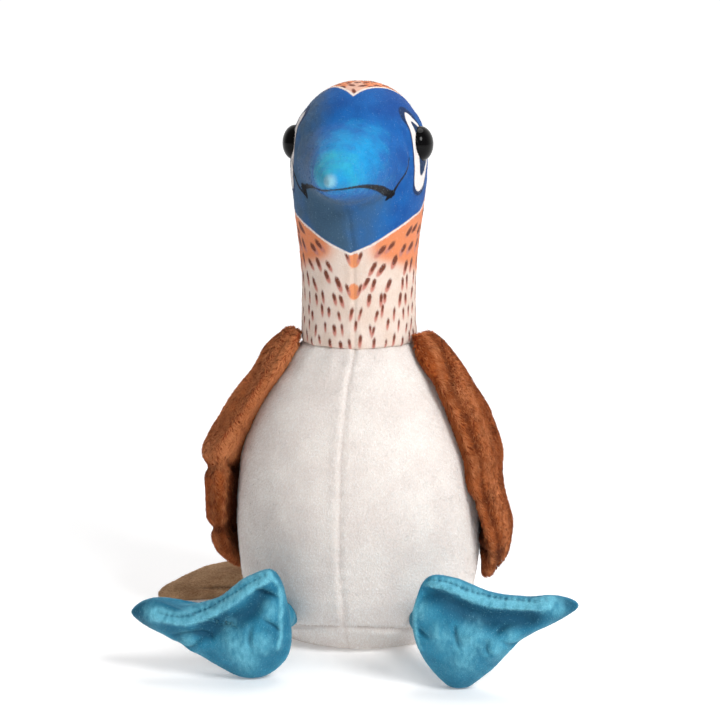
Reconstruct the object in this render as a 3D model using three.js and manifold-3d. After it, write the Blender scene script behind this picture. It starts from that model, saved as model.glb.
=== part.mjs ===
// A seated stuffed toy of a blue-footed booby: sewn plush pieces filled with polyester.
// Millimetres, +Z up, the bird faces -Y and its own left is +X.
// The origin is the middle of the flat seat, which rests on the floor with both heels and the tail.
import * as THREE from 'three';
import { mergeVertices } from 'three/addons/utils/BufferGeometryUtils.js';
import Module from 'manifold-3d';

// Gap left between two neighbouring sewn pieces.
const GAP = 0.3;
const SEGMENTS_ROUND = 44;
const SEGMENTS_SMALL = 26;

// Torso: an egg sat on a round base panel. Half widths are across X, front and back along Y.
const SEAT = { z: 0, side: 40, front: 34, back: 36 };
const BASE_SEAM = { z: 13, side: 51.5, front: 46, back: 46 };
const HIPS = { z: 32, side: 59.5, front: 54, back: 51 };
const BELLY = { z: 58, side: 61.5, front: 56, back: 52 };
const CHEST = { z: 86, side: 60, front: 53, back: 50 };
const BREAST = { z: 112, side: 51.5, front: 46, back: 44 };
const SHOULDERS = { z: 134, side: 38.5, front: 36, back: 36 };
const NECK_SEAM = { z: 147, side: 28, front: 28.5, back: 29 };
const TORSO_CROWN = { z: 151, side: 12, front: 12, back: 12 };

// Neck and head: one upright tube that widens into a round head.
const NECK_LOW = { z: 140, side: 29, front: 29.5, back: 29.5 };
const NECK_MID = { z: 168, side: 28.2, front: 28.5, back: 29 };
const THROAT = { z: 192, side: 29.2, front: 29.5, back: 30 };
const JAW = { z: 212, side: 32, front: 32.5, back: 33 };
const CHEEK = { z: 230, side: 33.5, front: 34.5, back: 35.5 };
const BROW = { z: 248, side: 31.8, front: 33, back: 34.5 };
const FOREHEAD = { z: 261.5, side: 24, front: 25, back: 26.5 };
const CROWN = { z: 269.3, side: 13.8, front: 14, back: 15 };
const HEAD_TOP = { z: 272, side: 4, front: 4, back: 4 };
// The blue mask ends in a V under the chin, so the neck's seam climbs towards the back.
const CHIN_SEAM_Z = 196;
const NECK_SEAM_CLIMB = Math.tan(THREE.MathUtils.degToRad(24));

// Beak: a broad soft cone that points forward and droops a little.
const BEAK_ROOT_Y = -22;
const BEAK_TIP = new THREE.Vector3(-1, -88, 232);
const BEAK_ROOT_Z = 236.5;
const BEAK_ROOT_SIDE = 25;
const BEAK_ROOT_UP = 20;
const BEAK_ROOT_DOWN = 23;
const BEAK_TIP_RADIUS = 2.6;

// Eyes: domes of the usual 16 mm safety eye.
const EYE_RADIUS = 8.6;
const EYE_BULGE = 5.8;
const EYE_TURN = THREE.MathUtils.degToRad(80);
const EYE_Z = 241.2;
const EYE_INSET = 31;

// Wings: flat stuffed panels sewn in at the shoulder, hanging down the sides.
const WING_ROOT = { z: 151.5, out: 31.5, thick: 3.5, fore: -12, aft: 6 };
const WING_SHOULDER = { z: 146, out: 36.5, thick: 6, fore: -18, aft: 12 };
const WING_UPPER = { z: 131, out: 45, thick: 7.6, fore: -24, aft: 22 };
const WING_ELBOW = { z: 110, out: 58.5, thick: 8.6, fore: -27, aft: 29 };
const WING_BROAD = { z: 88, out: 68.5, thick: 8.8, fore: -26, aft: 35 };
const WING_LOW = { z: 60, out: 68.8, thick: 8.2, fore: -21, aft: 36 };
const WING_HAND = { z: 42, out: 66.5, thick: 6.8, fore: -11, aft: 30 };
const WING_TIP = { z: 29, out: 62.5, thick: 3, fore: 6, aft: 16 };
// The toy's left wing is squashed flatter against the breast and flares near its tip.
const LEFT_WING_TUCK = 8;
const LEFT_WING_TUCK_Z = 86;
const LEFT_WING_TUCK_REACH = 27;

// Feet: webbed fans stood on their heels with the sole to the front.
const FOOT_THICK = 10.5;
const FOOT_LEAN = 10;
const FOOT_RIGHT = {
  name: 'foot_right', side: -1, x: 39, y: -79, hip: 30,
  innerTop: [-12, 55.5], innerSide: [-19.5, 33], innerLow: [-17, 10], heel: [0, -1.5],
  outerLow: [18, 6], outerSide: [32, 14.5], outerTip: [56.5, 31],
  toeHook: [46, 38.5], toeLow: [31, 36], toeDip: [15, 40.5], toeRise: [0, 52],
};
const FOOT_LEFT = {
  name: 'foot_left', side: 1, x: 57, y: -80, hip: 36,
  innerTop: [-13, 55.5], innerSide: [-20.8, 34], innerLow: [-15.5, 13], heel: [0, -1.5],
  outerLow: [14.5, 7.5], outerSide: [30, 25.5], outerTip: [55.5, 44],
  toeHook: [47, 48.5], toeLow: [32, 47.5], toeDip: [15, 49.5], toeRise: [-1, 55.5],
};
const LEG_RADIUS = 7.5;
const LEG_HIP = { y: -36, z: 19 };
const LEG_ANKLE_Y = -72;
const LEG_ANKLE_Z = 25;

// Tail: a flat wedge bent round to the toy's right, lying on the floor.
const TAIL_ROOT = new THREE.Vector3(-8, 34, 11);
const TAIL_BEND = new THREE.Vector3(-44, 54, 11);
const TAIL_MID = new THREE.Vector3(-79, 46, 9.5);
const TAIL_END = new THREE.Vector3(-109, 30, 4.5);
const TAIL_HALF_WIDE = 26;
const TAIL_HALF_THICK = 11;

// Cloth colours as they look in daylight.
const WHITE_PLUSH = '#efebe8';
const BROWN_PLUSH = '#a1552f';
const TAIL_PLUSH = '#94704f';
const BLUE_PLUSH = '#2a6fb8';
const TEAL_PLUSH = '#3a9cbe';
const PRINTED_PLUSH = '#e8b99c';
const EYE_BLACK = '#0b0b0d';

const wasm = await Module();
wasm.setup();

/** Value of one field at height z, eased smoothly through the named stations. */
function through(stations, field, z) {
  const list = stations[0].z < stations[stations.length - 1].z ? stations : [...stations].reverse();
  const slopes = list.slice(1).map((s, i) => (s[field] - list[i][field]) / (s.z - list[i].z));
  const tangent = (i) => {
    const before = slopes[Math.max(i - 1, 0)];
    const after = slopes[Math.min(i, slopes.length - 1)];
    return before * after <= 0 ? 0 : (2 * before * after) / (before + after);
  };
  const at = THREE.MathUtils.clamp(z, list[0].z, list[list.length - 1].z);
  const i = Math.max(0, list.findIndex((s) => s.z >= at) - 1);
  const span = list[i + 1].z - list[i].z;
  const t = (at - list[i].z) / span;
  const h = { a: (1 + 2 * t) * (1 - t) ** 2, b: t * (1 - t) ** 2, c: t * t * (3 - 2 * t), d: t * t * (t - 1) };
  const ends = h.a * list[i][field] + h.c * list[i + 1][field];
  return ends + span * (h.b * tangent(i) + h.d * tangent(i + 1));
}

/** A closed skin over rings of points: place(t, angle) gives each point, t from 0 to 1. */
function skin(rings, sides, place) {
  const positions = [];
  const indices = [];
  const push = (p) => positions.push(p.x, p.y, p.z) / 3 - 1;
  const centre = (t) => {
    const sum = new THREE.Vector3();
    for (let k = 0; k < sides; k += 1) sum.add(place(t, (2 * Math.PI * k) / sides));
    return sum.divideScalar(sides);
  };
  for (let j = 0; j <= rings; j += 1) {
    for (let k = 0; k < sides; k += 1) push(place(j / rings, (2 * Math.PI * k) / sides));
  }
  const start = push(centre(0));
  const end = push(centre(1));
  for (let k = 0; k < sides; k += 1) {
    const next = (k + 1) % sides;
    indices.push(start, next, k);
    indices.push(end, rings * sides + k, rings * sides + next);
    for (let j = 0; j < rings; j += 1) {
      const low = j * sides;
      const high = low + sides;
      indices.push(low + k, low + next, high + next, low + k, high + next, high + k);
    }
  }
  return solid(positions, indices);
}

/** A manifold solid from raw points and triangles, turned outside out where it needs it. */
function solid(positions, indices) {
  const geometry = new THREE.BufferGeometry();
  geometry.setAttribute('position', new THREE.Float32BufferAttribute(positions, 3));
  geometry.setIndex(indices);
  const merged = mergeVertices(geometry, 1e-4);
  const p = merged.attributes.position.array;
  const t = Array.from(merged.index.array);
  let volume = 0;
  for (let i = 0; i < t.length; i += 3) {
    const [a, b, c] = [t[i], t[i + 1], t[i + 2]].map((v) => new THREE.Vector3().fromArray(p, 3 * v));
    volume += a.dot(b.cross(c));
  }
  if (volume < 0) {
    for (let i = 0; i < t.length; i += 3) [t[i + 1], t[i + 2]] = [t[i + 2], t[i + 1]];
  }
  const mesh = new wasm.Mesh({ numProp: 3, vertProperties: new Float32Array(p), triVerts: new Uint32Array(t) });
  return new wasm.Manifold(mesh);
}

/** The largest single body of a solid, without the crumbs a cut may leave. */
function mainBody(whole) {
  const bodies = whole.decompose();
  return bodies.reduce((best, body) => (body.volume() > best.volume() ? body : best));
}

/** A named mesh in its own cloth colour. */
function mesh(name, body, colour, roughness = 0.95) {
  const raw = mainBody(body).getMesh();
  const geometry = new THREE.BufferGeometry();
  geometry.setAttribute('position', new THREE.Float32BufferAttribute(raw.vertProperties, 3));
  geometry.setIndex(Array.from(raw.triVerts));
  const merged = mergeVertices(geometry, 1e-3);
  merged.computeVertexNormals();
  const made = new THREE.Mesh(merged, new THREE.MeshStandardMaterial({ color: colour, roughness, metalness: 0 }));
  made.name = name;
  return made;
}

/** An upright egg-like solid through named stations, grown outwards by a margin. */
function upright(stations, grow, rings) {
  const low = stations[0].z - grow;
  const high = stations[stations.length - 1].z + grow;
  return skin(rings, SEGMENTS_ROUND, (t, angle) => {
    const z = low + (high - low) * t;
    const c = Math.cos(angle);
    const s = Math.sin(angle);
    const deep = through(stations, s < 0 ? 'front' : 'back', z) + grow;
    return new THREE.Vector3((through(stations, 'side', z) + grow) * c, deep * s, z);
  });
}

/** The space above z = height, a block much larger than the toy, used to cut flats and seams. */
function above(height) {
  const block = new THREE.BoxGeometry(600, 600, 600).translate(0, 0, 300 + height);
  return solid(Array.from(block.attributes.position.array), Array.from(block.index.array));
}

/** The wedge of space above the chin seam, shifted by an offset. */
function aboveChin(offset) {
  const angle = THREE.MathUtils.radToDeg(Math.atan(NECK_SEAM_CLIMB));
  const z = CHIN_SEAM_Z + THROAT.front * NECK_SEAM_CLIMB;
  return above(0).rotate([angle, 0, 0]).translate([0, 0, z + offset]);
}

/** The beak, from inside the face to its rounded tip. */
function beak(grow) {
  const profile = (t) => Math.sqrt(Math.max(0, 1 - t ** 6)) * (1 - 0.9 * t ** 0.82);
  return skin(20, SEGMENTS_SMALL, (t, angle) => {
    const s = Math.sin(angle);
    const size = profile(t * 0.995);
    const up = (s > 0 ? BEAK_ROOT_UP : BEAK_ROOT_DOWN) * size + BEAK_TIP_RADIUS * Math.sqrt(1 - (0.995 * t) ** 8);
    const side = BEAK_ROOT_SIDE * size + BEAK_TIP_RADIUS * Math.sqrt(1 - (0.995 * t) ** 8);
    return new THREE.Vector3(
      BEAK_TIP.x * t + (side + grow) * Math.cos(angle),
      BEAK_ROOT_Y + (BEAK_TIP.y - BEAK_ROOT_Y - grow) * t,
      BEAK_ROOT_Z + (BEAK_TIP.z - BEAK_ROOT_Z) * t + (up + grow) * s,
    );
  });
}

/** One eye dome, standing out of the side of the head. */
function eye(side) {
  const out = new THREE.Vector3(side * Math.sin(EYE_TURN), -Math.cos(EYE_TURN), 0.05).normalize();
  const across = new THREE.Vector3(0, 0, 1).cross(out).normalize();
  const up = out.clone().cross(across);
  return skin(9, SEGMENTS_SMALL, (t, angle) => {
    const lift = Math.sin((t * Math.PI) / 2);
    const wide = t < 1 ? Math.cos((t * Math.PI) / 2) : 0.02;
    const p = out.clone().multiplyScalar(EYE_INSET - 2 + (EYE_BULGE + 2) * lift);
    p.addScaledVector(across, EYE_RADIUS * wide * Math.cos(angle));
    p.addScaledVector(up, EYE_RADIUS * wide * Math.sin(angle));
    return p.add(new THREE.Vector3(0, 0, EYE_Z));
  });
}

/** One wing, lofted from its rounded shoulder down to its tip. */
function wing(side) {
  const list = [WING_ROOT, WING_SHOULDER, WING_UPPER, WING_ELBOW, WING_BROAD, WING_LOW, WING_HAND, WING_TIP];
  return skin(26, SEGMENTS_SMALL, (t, angle) => {
    const z = WING_ROOT.z + (WING_TIP.z - WING_ROOT.z) * t;
    const tuck = side > 0 ? LEFT_WING_TUCK * Math.exp(-(((z - LEFT_WING_TUCK_Z) / LEFT_WING_TUCK_REACH) ** 2)) : 0;
    const fore = through(list, 'fore', z);
    const aft = through(list, 'aft', z);
    const thick = through(list, 'thick', z);
    const y = (fore + aft) / 2 + ((aft - fore) / 2) * Math.cos(angle);
    const wrap = 0.0042 * (y - 4) ** 2;
    const x = through(list, 'out', z) - tuck - wrap + thick * Math.sin(angle);
    return new THREE.Vector3(side * x, y, z);
  });
}

/** One webbed foot: a pillow inside the fan outline, thick in the middle and thin at its seam. */
function foot(shape, grow) {
  const lower = ['innerSide', 'innerLow', 'heel', 'outerLow', 'outerSide', 'outerTip'];
  const names = [...lower, 'toeHook', 'toeLow', 'toeDip', 'toeRise', 'innerTop'];
  const corners = names.map((n) => new THREE.Vector3(shape[n][0], shape[n][1], 0));
  const outline = new THREE.CatmullRomCurve3(corners, true, 'centripetal');
  const heart = new THREE.Vector3(3, 28, 0);
  const sides = 56;
  const fan = [];
  for (let k = 0; k < sides; k += 1) fan.push(outline.getPoint(k / sides));
  return skin(16, sides, (t, angle) => {
    const edge = fan[Math.round((angle / (2 * Math.PI)) * sides) % sides];
    const turn = Math.PI * (t - 0.5);
    const reach = Math.max(0.02, Math.cos(turn) ** 0.8);
    const flat = heart.clone().lerp(edge, reach);
    const out = edge.clone().sub(heart).normalize().multiplyScalar(grow * reach);
    const thick = (FOOT_THICK + grow) * Math.sin(turn);
    const lean = (FOOT_LEAN * flat.y) / 56;
    return new THREE.Vector3(shape.side * (shape.x + flat.x + out.x), shape.y - lean - thick, flat.y + out.y);
  });
}

/** A short stuffed leg from the base seam to the back of a foot. */
function leg(shape) {
  const hip = new THREE.Vector3(shape.side * shape.hip, LEG_HIP.y, LEG_HIP.z);
  const ankle = new THREE.Vector3(shape.side * (shape.x - 4), LEG_ANKLE_Y, LEG_ANKLE_Z);
  const along = ankle.clone().sub(hip).normalize();
  const across = new THREE.Vector3(0, 0, 1).cross(along).normalize();
  const up = along.clone().cross(across);
  return skin(6, SEGMENTS_SMALL, (t, angle) => {
    const p = hip.clone().lerp(ankle, t);
    p.addScaledVector(across, LEG_RADIUS * Math.cos(angle));
    return p.addScaledVector(up, LEG_RADIUS * Math.sin(angle));
  });
}

/** The tail wedge along its bent middle line, flattened where it lies on the floor. */
function tail() {
  const line = new THREE.CatmullRomCurve3([TAIL_ROOT, TAIL_BEND, TAIL_MID, TAIL_END], false, 'centripetal');
  return skin(24, 30, (t, angle) => {
    const p = line.getPoint(t);
    const along = line.getTangent(t);
    const across = new THREE.Vector3(along.y, -along.x, 0).normalize();
    const round = Math.sqrt(Math.max(0.0005, 1 - t ** 4));
    const wide = TAIL_HALF_WIDE * (1 - 0.35 * t) * round;
    const thick = TAIL_HALF_THICK * (1 - 0.2 * t) * round;
    p.addScaledVector(across, wide * Math.cos(angle));
    p.z += thick * Math.sin(angle);
    return p;
  });
}

const torsoStations = [SEAT, BASE_SEAM, HIPS, BELLY, CHEST, BREAST, SHOULDERS, NECK_SEAM, TORSO_CROWN];
const headStations = [NECK_LOW, NECK_MID, THROAT, JAW, CHEEK, BROW, FOREHEAD, CROWN, HEAD_TOP];

const torso = upright(torsoStations, 0, 30);
const torsoRoom = upright(torsoStations, GAP, 30);
const headAndNeck = upright(headStations, 0, 30);
const headRoom = upright(headStations, GAP, 30);
const footRight = foot(FOOT_RIGHT, 0).intersect(above(0));
const footLeft = foot(FOOT_LEFT, 0).intersect(above(0));
const floorPart = above(0);

const build = new THREE.Group();
build.name = 'booby_plush';
build.add(mesh('torso', torso, WHITE_PLUSH));
build.add(mesh('neck', headAndNeck.subtract(aboveChin(-GAP)).subtract(torsoRoom), PRINTED_PLUSH));
build.add(mesh('head', headAndNeck.intersect(aboveChin(0)), BLUE_PLUSH));
build.add(mesh('beak', beak(0).subtract(headRoom), BLUE_PLUSH));
for (const side of [-1, 1]) {
  const hand = side < 0 ? 'right' : 'left';
  const shape = side < 0 ? FOOT_RIGHT : FOOT_LEFT;
  const thisFoot = side < 0 ? footRight : footLeft;
  build.add(mesh(`eye_${hand}`, eye(side).subtract(headRoom), EYE_BLACK, 0.12));
  build.add(mesh(`wing_${hand}`, wing(side).subtract(torsoRoom).subtract(headRoom), BROWN_PLUSH));
  build.add(mesh(`foot_${hand}`, thisFoot, TEAL_PLUSH));
  build.add(mesh(`leg_${hand}`, leg(shape).subtract(torsoRoom).subtract(foot(shape, GAP)), TEAL_PLUSH));
}
build.add(mesh('tail', tail().intersect(floorPart).subtract(torsoRoom), TAIL_PLUSH));

export default build;
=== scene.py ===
"""A seated plush toy of a blue-footed booby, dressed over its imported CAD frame.

Sizes are millimetres in the dataclasses and metres in Blender.
+Z is up, the bird faces -Y and its own left is +X.
"""

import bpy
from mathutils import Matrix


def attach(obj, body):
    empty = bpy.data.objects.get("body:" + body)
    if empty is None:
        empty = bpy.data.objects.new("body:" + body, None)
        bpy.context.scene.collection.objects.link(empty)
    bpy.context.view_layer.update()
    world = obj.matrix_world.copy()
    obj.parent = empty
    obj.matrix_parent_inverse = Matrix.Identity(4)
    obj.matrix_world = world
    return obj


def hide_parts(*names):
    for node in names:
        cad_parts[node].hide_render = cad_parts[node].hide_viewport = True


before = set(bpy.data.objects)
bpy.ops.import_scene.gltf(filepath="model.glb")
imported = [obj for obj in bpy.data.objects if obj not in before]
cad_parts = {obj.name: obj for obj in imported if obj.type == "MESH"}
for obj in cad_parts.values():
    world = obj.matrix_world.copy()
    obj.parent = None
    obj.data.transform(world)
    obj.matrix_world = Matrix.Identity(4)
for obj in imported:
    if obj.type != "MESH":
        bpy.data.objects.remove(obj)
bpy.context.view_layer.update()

import logging
import math
from dataclasses import dataclass
from enum import Enum
from typing import Callable, Iterable, Sequence

import bmesh
import bpy
import numpy as np
from mathutils import Vector, noise
from mathutils.kdtree import KDTree

log = logging.getLogger("booby")
MM = 0.001
Array = np.ndarray
Masks = dict[str, Array]
Piece = bpy.types.Object
Tree = bpy.types.NodeTree
Socket = bpy.types.NodeSocket
Material = bpy.types.Material
Places = tuple[tuple[float, float], ...]
# What a marking's mask says where the marking can't be.
OUTSIDE = -9.0


# Numbers and curves


def hex_to_linear(code: str) -> tuple[float, float, float]:
    """The linear colour of an sRGB hex code such as '#efebe8'."""
    parts = [int(code[i : i + 2], 16) / 255 for i in (1, 3, 5)]
    return tuple(c / 12.92 if c <= 0.04045 else ((c + 0.055) / 1.055) ** 2.4 for c in parts)


def smoothstep(low: float, high: float, value: Array) -> Array:
    """0 below low, 1 above high and an eased ramp between them."""
    t = np.clip((value - low) / (high - low), 0, 1)
    return t * t * (3 - 2 * t)


def bell(value: Array, width: float) -> Array:
    """A hump of height 1 at zero that fades over width."""
    return np.exp(-((value / width) ** 2))


def unit(vectors: Array) -> Array:
    """The vectors at length 1, along their last axis."""
    return vectors / np.maximum(np.linalg.norm(vectors, axis=-1, keepdims=True), 1e-9)


def through(heights: Sequence[float], values: Sequence[float], at: Array) -> Array:
    """An eased curve through named stations.

    Args:
        heights: where the stations are, in rising or falling order.
        values: the size at each station.
        at: where the curve is read; it stays level outside the stations.

    Returns:
        The size at each place that was asked for.
    """
    order = np.argsort(heights)
    z = np.asarray(heights, float)[order]
    v = np.asarray(values, float)[order]
    slope = np.diff(v) / np.diff(z)
    before = np.concatenate([slope[:1], slope])
    after = np.concatenate([slope, slope[-1:]])
    product = before * after
    total = np.where(np.abs(before + after) < 1e-12, 1, before + after)
    tangent = np.where(product > 0, 2 * product / total, 0)
    at = np.clip(at, z[0], z[-1])
    i = np.clip(np.searchsorted(z, at, side="left") - 1, 0, len(z) - 2)
    span = z[i + 1] - z[i]
    t = (at - z[i]) / span
    ends = (1 + 2 * t) * (1 - t) ** 2 * v[i] + t * t * (3 - 2 * t) * v[i + 1]
    return ends + span * (t * (1 - t) ** 2 * tangent[i] + t * t * (t - 1) * tangent[i + 1])


def curve_points(points: Sequence[Sequence[float]], closed: bool, count: int) -> Array:
    """Points along a centripetal curve through the named corners.

    Args:
        points: the corners, each x, y, z in millimetres.
        closed: whether the curve runs back to its first corner.
        count: how many points to give; an open curve includes both ends.

    Returns:
        An array of count points.
    """
    p = np.asarray(points, float)
    n = len(p)
    if closed:
        u = np.arange(count) / count * n
        i = np.floor(u).astype(int)
        corners = [p[(i + k) % n] for k in (-1, 0, 1, 2)]
    else:
        u = np.linspace(0, n - 1, count)
        i = np.minimum(np.floor(u).astype(int), n - 2)
        padded = np.vstack([2 * p[0] - p[1], p, 2 * p[-1] - p[-2]])
        corners = [padded[i + k] for k in (0, 1, 2, 3)]
    w = (u - i)[:, None]
    p0, p1, p2, p3 = corners
    steps = (np.linalg.norm(b - a, axis=1, keepdims=True) for a, b in zip(corners, corners[1:]))
    d0, d1, d2 = (np.maximum(step**0.5, 1e-4) for step in steps)
    t1 = ((p1 - p0) / d0 - (p2 - p0) / (d0 + d1) + (p2 - p1) / d1) * d1
    t2 = ((p2 - p1) / d1 - (p3 - p1) / (d1 + d2) + (p3 - p2) / d2) * d1
    c2 = -3 * p1 + 3 * p2 - 2 * t1 - t2
    c3 = 2 * p1 - 2 * p2 + t1 + t2
    return p1 + t1 * w + c2 * w**2 + c3 * w**3


def distance_to_line(points: Array, line: Array) -> tuple[Array, Array]:
    """How far each point lies from a broken line.

    Args:
        points: N by 2 or N by 3.
        line: the line's corners in the same space.

    Returns:
        The distance of each point, and how far along the line its nearest place is, from 0 to 1.
    """
    lengths = np.linalg.norm(np.diff(line, axis=0), axis=1)
    total = lengths.sum()
    best = np.full(len(points), 1e9)
    along = np.zeros(len(points))
    start = 0.0
    for a, b, length in zip(line[:-1], line[1:], lengths):
        t = np.clip(((points - a) @ (b - a)) / max(length**2, 1e-9), 0, 1)
        d = np.linalg.norm(points - (a + t[:, None] * (b - a)), axis=1)
        closer = d < best
        best = np.where(closer, d, best)
        along = np.where(closer, (start + t * length) / total, along)
        start += length
    return best, along


def inside_loop(points: Array, loop: Array) -> Array:
    """How many millimetres each flat point lies inside a closed loop; negative outside it."""
    closed = np.vstack([loop, loop[:1]])
    away, _ = distance_to_line(points, closed)
    odd = np.zeros(len(points), bool)
    for a, b in zip(closed[:-1], closed[1:]):
        spans = (a[1] > points[:, 1]) != (b[1] > points[:, 1])
        rise = b[1] - a[1] if abs(b[1] - a[1]) > 1e-9 else 1e-9
        odd ^= spans & (points[:, 0] < a[0] + (points[:, 1] - a[1]) / rise * (b[0] - a[0]))
    return np.where(odd, away, -away)


def flat_curve(points: Iterable[Sequence[float]], count: int, closed: bool = False) -> Array:
    """A smooth flat line through the named places."""
    return curve_points([(a, b, 0.0) for a, b in points], closed, count)[:, :2]


def turns(count: int) -> Array:
    """The angles of count places evenly round a ring."""
    return np.linspace(0, 2 * math.pi, count, endpoint=False)


def heading(points: Array) -> Array:
    """The angle of each point round the upright axis, 0 at the front and positive on the toy's left."""
    return np.arctan2(points[:, 0], -points[:, 1])


def ripple(points: Array, scale: float, seed: float) -> Array:
    """Smooth noise from -1 to 1 at each point; scale is the size of one ripple in millimetres."""
    shift = Vector((seed, seed * 0.37, -seed))
    return np.array([noise.noise(Vector(p) / scale + shift) for p in points]) * 1.6


# Meshes


def placed(name: str, data: bpy.types.ID) -> Piece:
    """A new object in the scene with this data."""
    made = bpy.data.objects.new(name, data)
    bpy.context.scene.collection.objects.link(made)
    return made


def new_object(name: str, points: Array, faces: Sequence[Sequence[int]], smooth: bool = True) -> Piece:
    """A mesh object from points in millimetres.

    Args:
        name: the object's name.
        points: N by 3, in millimetres.
        faces: corner numbers of each face.
        smooth: whether it is shaded smooth.

    Returns:
        The linked object.
    """
    data = bpy.data.meshes.new(name)
    data.from_pydata((points * MM).tolist(), [], [list(map(int, f)) for f in faces])
    data.validate()
    data.polygons.foreach_set("use_smooth", [smooth] * len(data.polygons))
    return placed(name, data)


def ring_faces(rings: int, sides: int) -> list[list[int]]:
    """Faces of a closed skin of rings, whose last two points close its two ends."""
    faces = []
    start, end = rings * sides, rings * sides + 1
    for k in range(sides):
        n = (k + 1) % sides
        faces.append([start, n, k])
        faces.append([end, (rings - 1) * sides + k, (rings - 1) * sides + n])
        for j in range(0, (rings - 1) * sides, sides):
            faces.append([j + k, j + n, j + sides + n, j + sides + k])
    return faces


def ring_skin(name: str, grid: Array) -> Piece:
    """A closed object from a grid of rings, with its faces turned outwards."""
    rings, sides, _ = grid.shape
    points = np.vstack([grid.reshape(-1, 3), grid[0].mean(0), grid[-1].mean(0)])
    made = new_object(name, points, ring_faces(rings, sides))
    shape = bmesh.new()
    shape.from_mesh(made.data)
    if shape.calc_volume(signed=True) < 0:
        bmesh.ops.reverse_faces(shape, faces=shape.faces)
    shape.to_mesh(made.data)
    shape.free()
    return made


def vertex_values(piece: Piece, name: str) -> Array:
    """Three numbers for each point, under Blender's own name for them."""
    flat = np.empty(len(piece.data.vertices) * 3)
    piece.data.vertices.foreach_get(name, flat)
    return flat.reshape(-1, 3)


def points_of(piece: Piece) -> Array:
    """The piece's points in millimetres."""
    return vertex_values(piece, "co") / MM


def move_points(piece: Piece, points: Array) -> None:
    """Sets the piece's points, in millimetres."""
    piece.data.vertices.foreach_set("co", (points * MM).ravel())
    piece.data.update()


def normals_of(piece: Piece) -> Array:
    """The smooth normal at each point."""
    return vertex_values(piece, "normal")


def apply_modifier(piece: Piece, kind: str, **settings: object) -> None:
    """Adds one modifier with its settings and applies it."""
    added = piece.modifiers.new(kind.lower(), kind)
    for key, value in settings.items():
        setattr(added, key, value)
    with bpy.context.temp_override(object=piece, active_object=piece):
        bpy.ops.object.modifier_apply(modifier=added.name)


def paint(piece: Piece, masks: Masks) -> None:
    """Stores one number per point for each named mask."""
    for name, values in masks.items():
        layer = piece.data.attributes.get(name) or piece.data.attributes.new(name, "FLOAT", "POINT")
        layer.data.foreach_set("value", np.asarray(values, np.float32))


# Finishes


def add_node(tree: Tree, kind: str, inputs: dict | None = None, **settings: object) -> bpy.types.Node:
    """Adds a node with its settings and links.

    Args:
        tree: the material's node tree.
        kind: Blender's node type.
        inputs: a value or another node's socket for each named or numbered input.
        settings: the node's own properties.

    Returns:
        The new node.
    """
    made = tree.nodes.new(kind)
    for key, value in settings.items():
        setattr(made, key, value)
    for key, value in (inputs or {}).items():
        if isinstance(value, Socket):
            tree.links.new(value, made.inputs[key])
        else:
            made.inputs[key].default_value = value
    return made


def rgba(code: str) -> tuple[float, float, float, float]:
    """A hex colour as a linear socket value."""
    return (*hex_to_linear(code), 1.0)


def mix(tree: Tree, amount: object, below: object, above: object) -> Socket:
    """The colour below with the colour above laid over it by amount."""
    made = add_node(tree, "ShaderNodeMix", {0: amount, 6: below, 7: above}, data_type="RGBA")
    return made.outputs[2]


def eased(
    tree: Tree, value: Socket, low: float, high: float, start: float = 0.0, end: float = 1.0
) -> Socket:
    """The value eased from start at low to end at high."""
    inputs = {"Value": value, "From Min": low, "From Max": high, "To Min": start, "To Max": end}
    return add_node(tree, "ShaderNodeMapRange", inputs, interpolation_type="SMOOTHSTEP").outputs["Result"]


def mask(tree: Tree, name: str, low: float = 0.0, high: float = 1.0) -> Socket:
    """A stored mask eased from 0 at low to 1 at high."""
    stored = add_node(tree, "ShaderNodeAttribute", attribute_name=name)
    return eased(tree, stored.outputs["Fac"], low, high)


def cloudy(tree: Tree, size_mm: float, detail: float, low: float, high: float) -> Socket:
    """Noise with patches of size_mm, eased between low and high."""
    place = add_node(tree, "ShaderNodeTexCoord").outputs["Object"]
    inputs = {"Vector": place, "Scale": 1 / (size_mm * MM), "Detail": detail, "Roughness": 0.55}
    return eased(tree, add_node(tree, "ShaderNodeTexNoise", inputs).outputs["Fac"], low, high)


def blank_material(name: str) -> tuple[Material, Tree]:
    """A new material and its empty node tree."""
    made = bpy.data.materials.new(name)
    made.use_nodes = True
    made.node_tree.nodes.clear()
    return made, made.node_tree


def surface(tree: Tree, inputs: dict) -> None:
    """Closes a material's tree with one shader that has these inputs."""
    shader = add_node(tree, "ShaderNodeBsdfPrincipled", inputs)
    add_node(tree, "ShaderNodeOutputMaterial", {"Surface": shader.outputs["BSDF"]})


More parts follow.
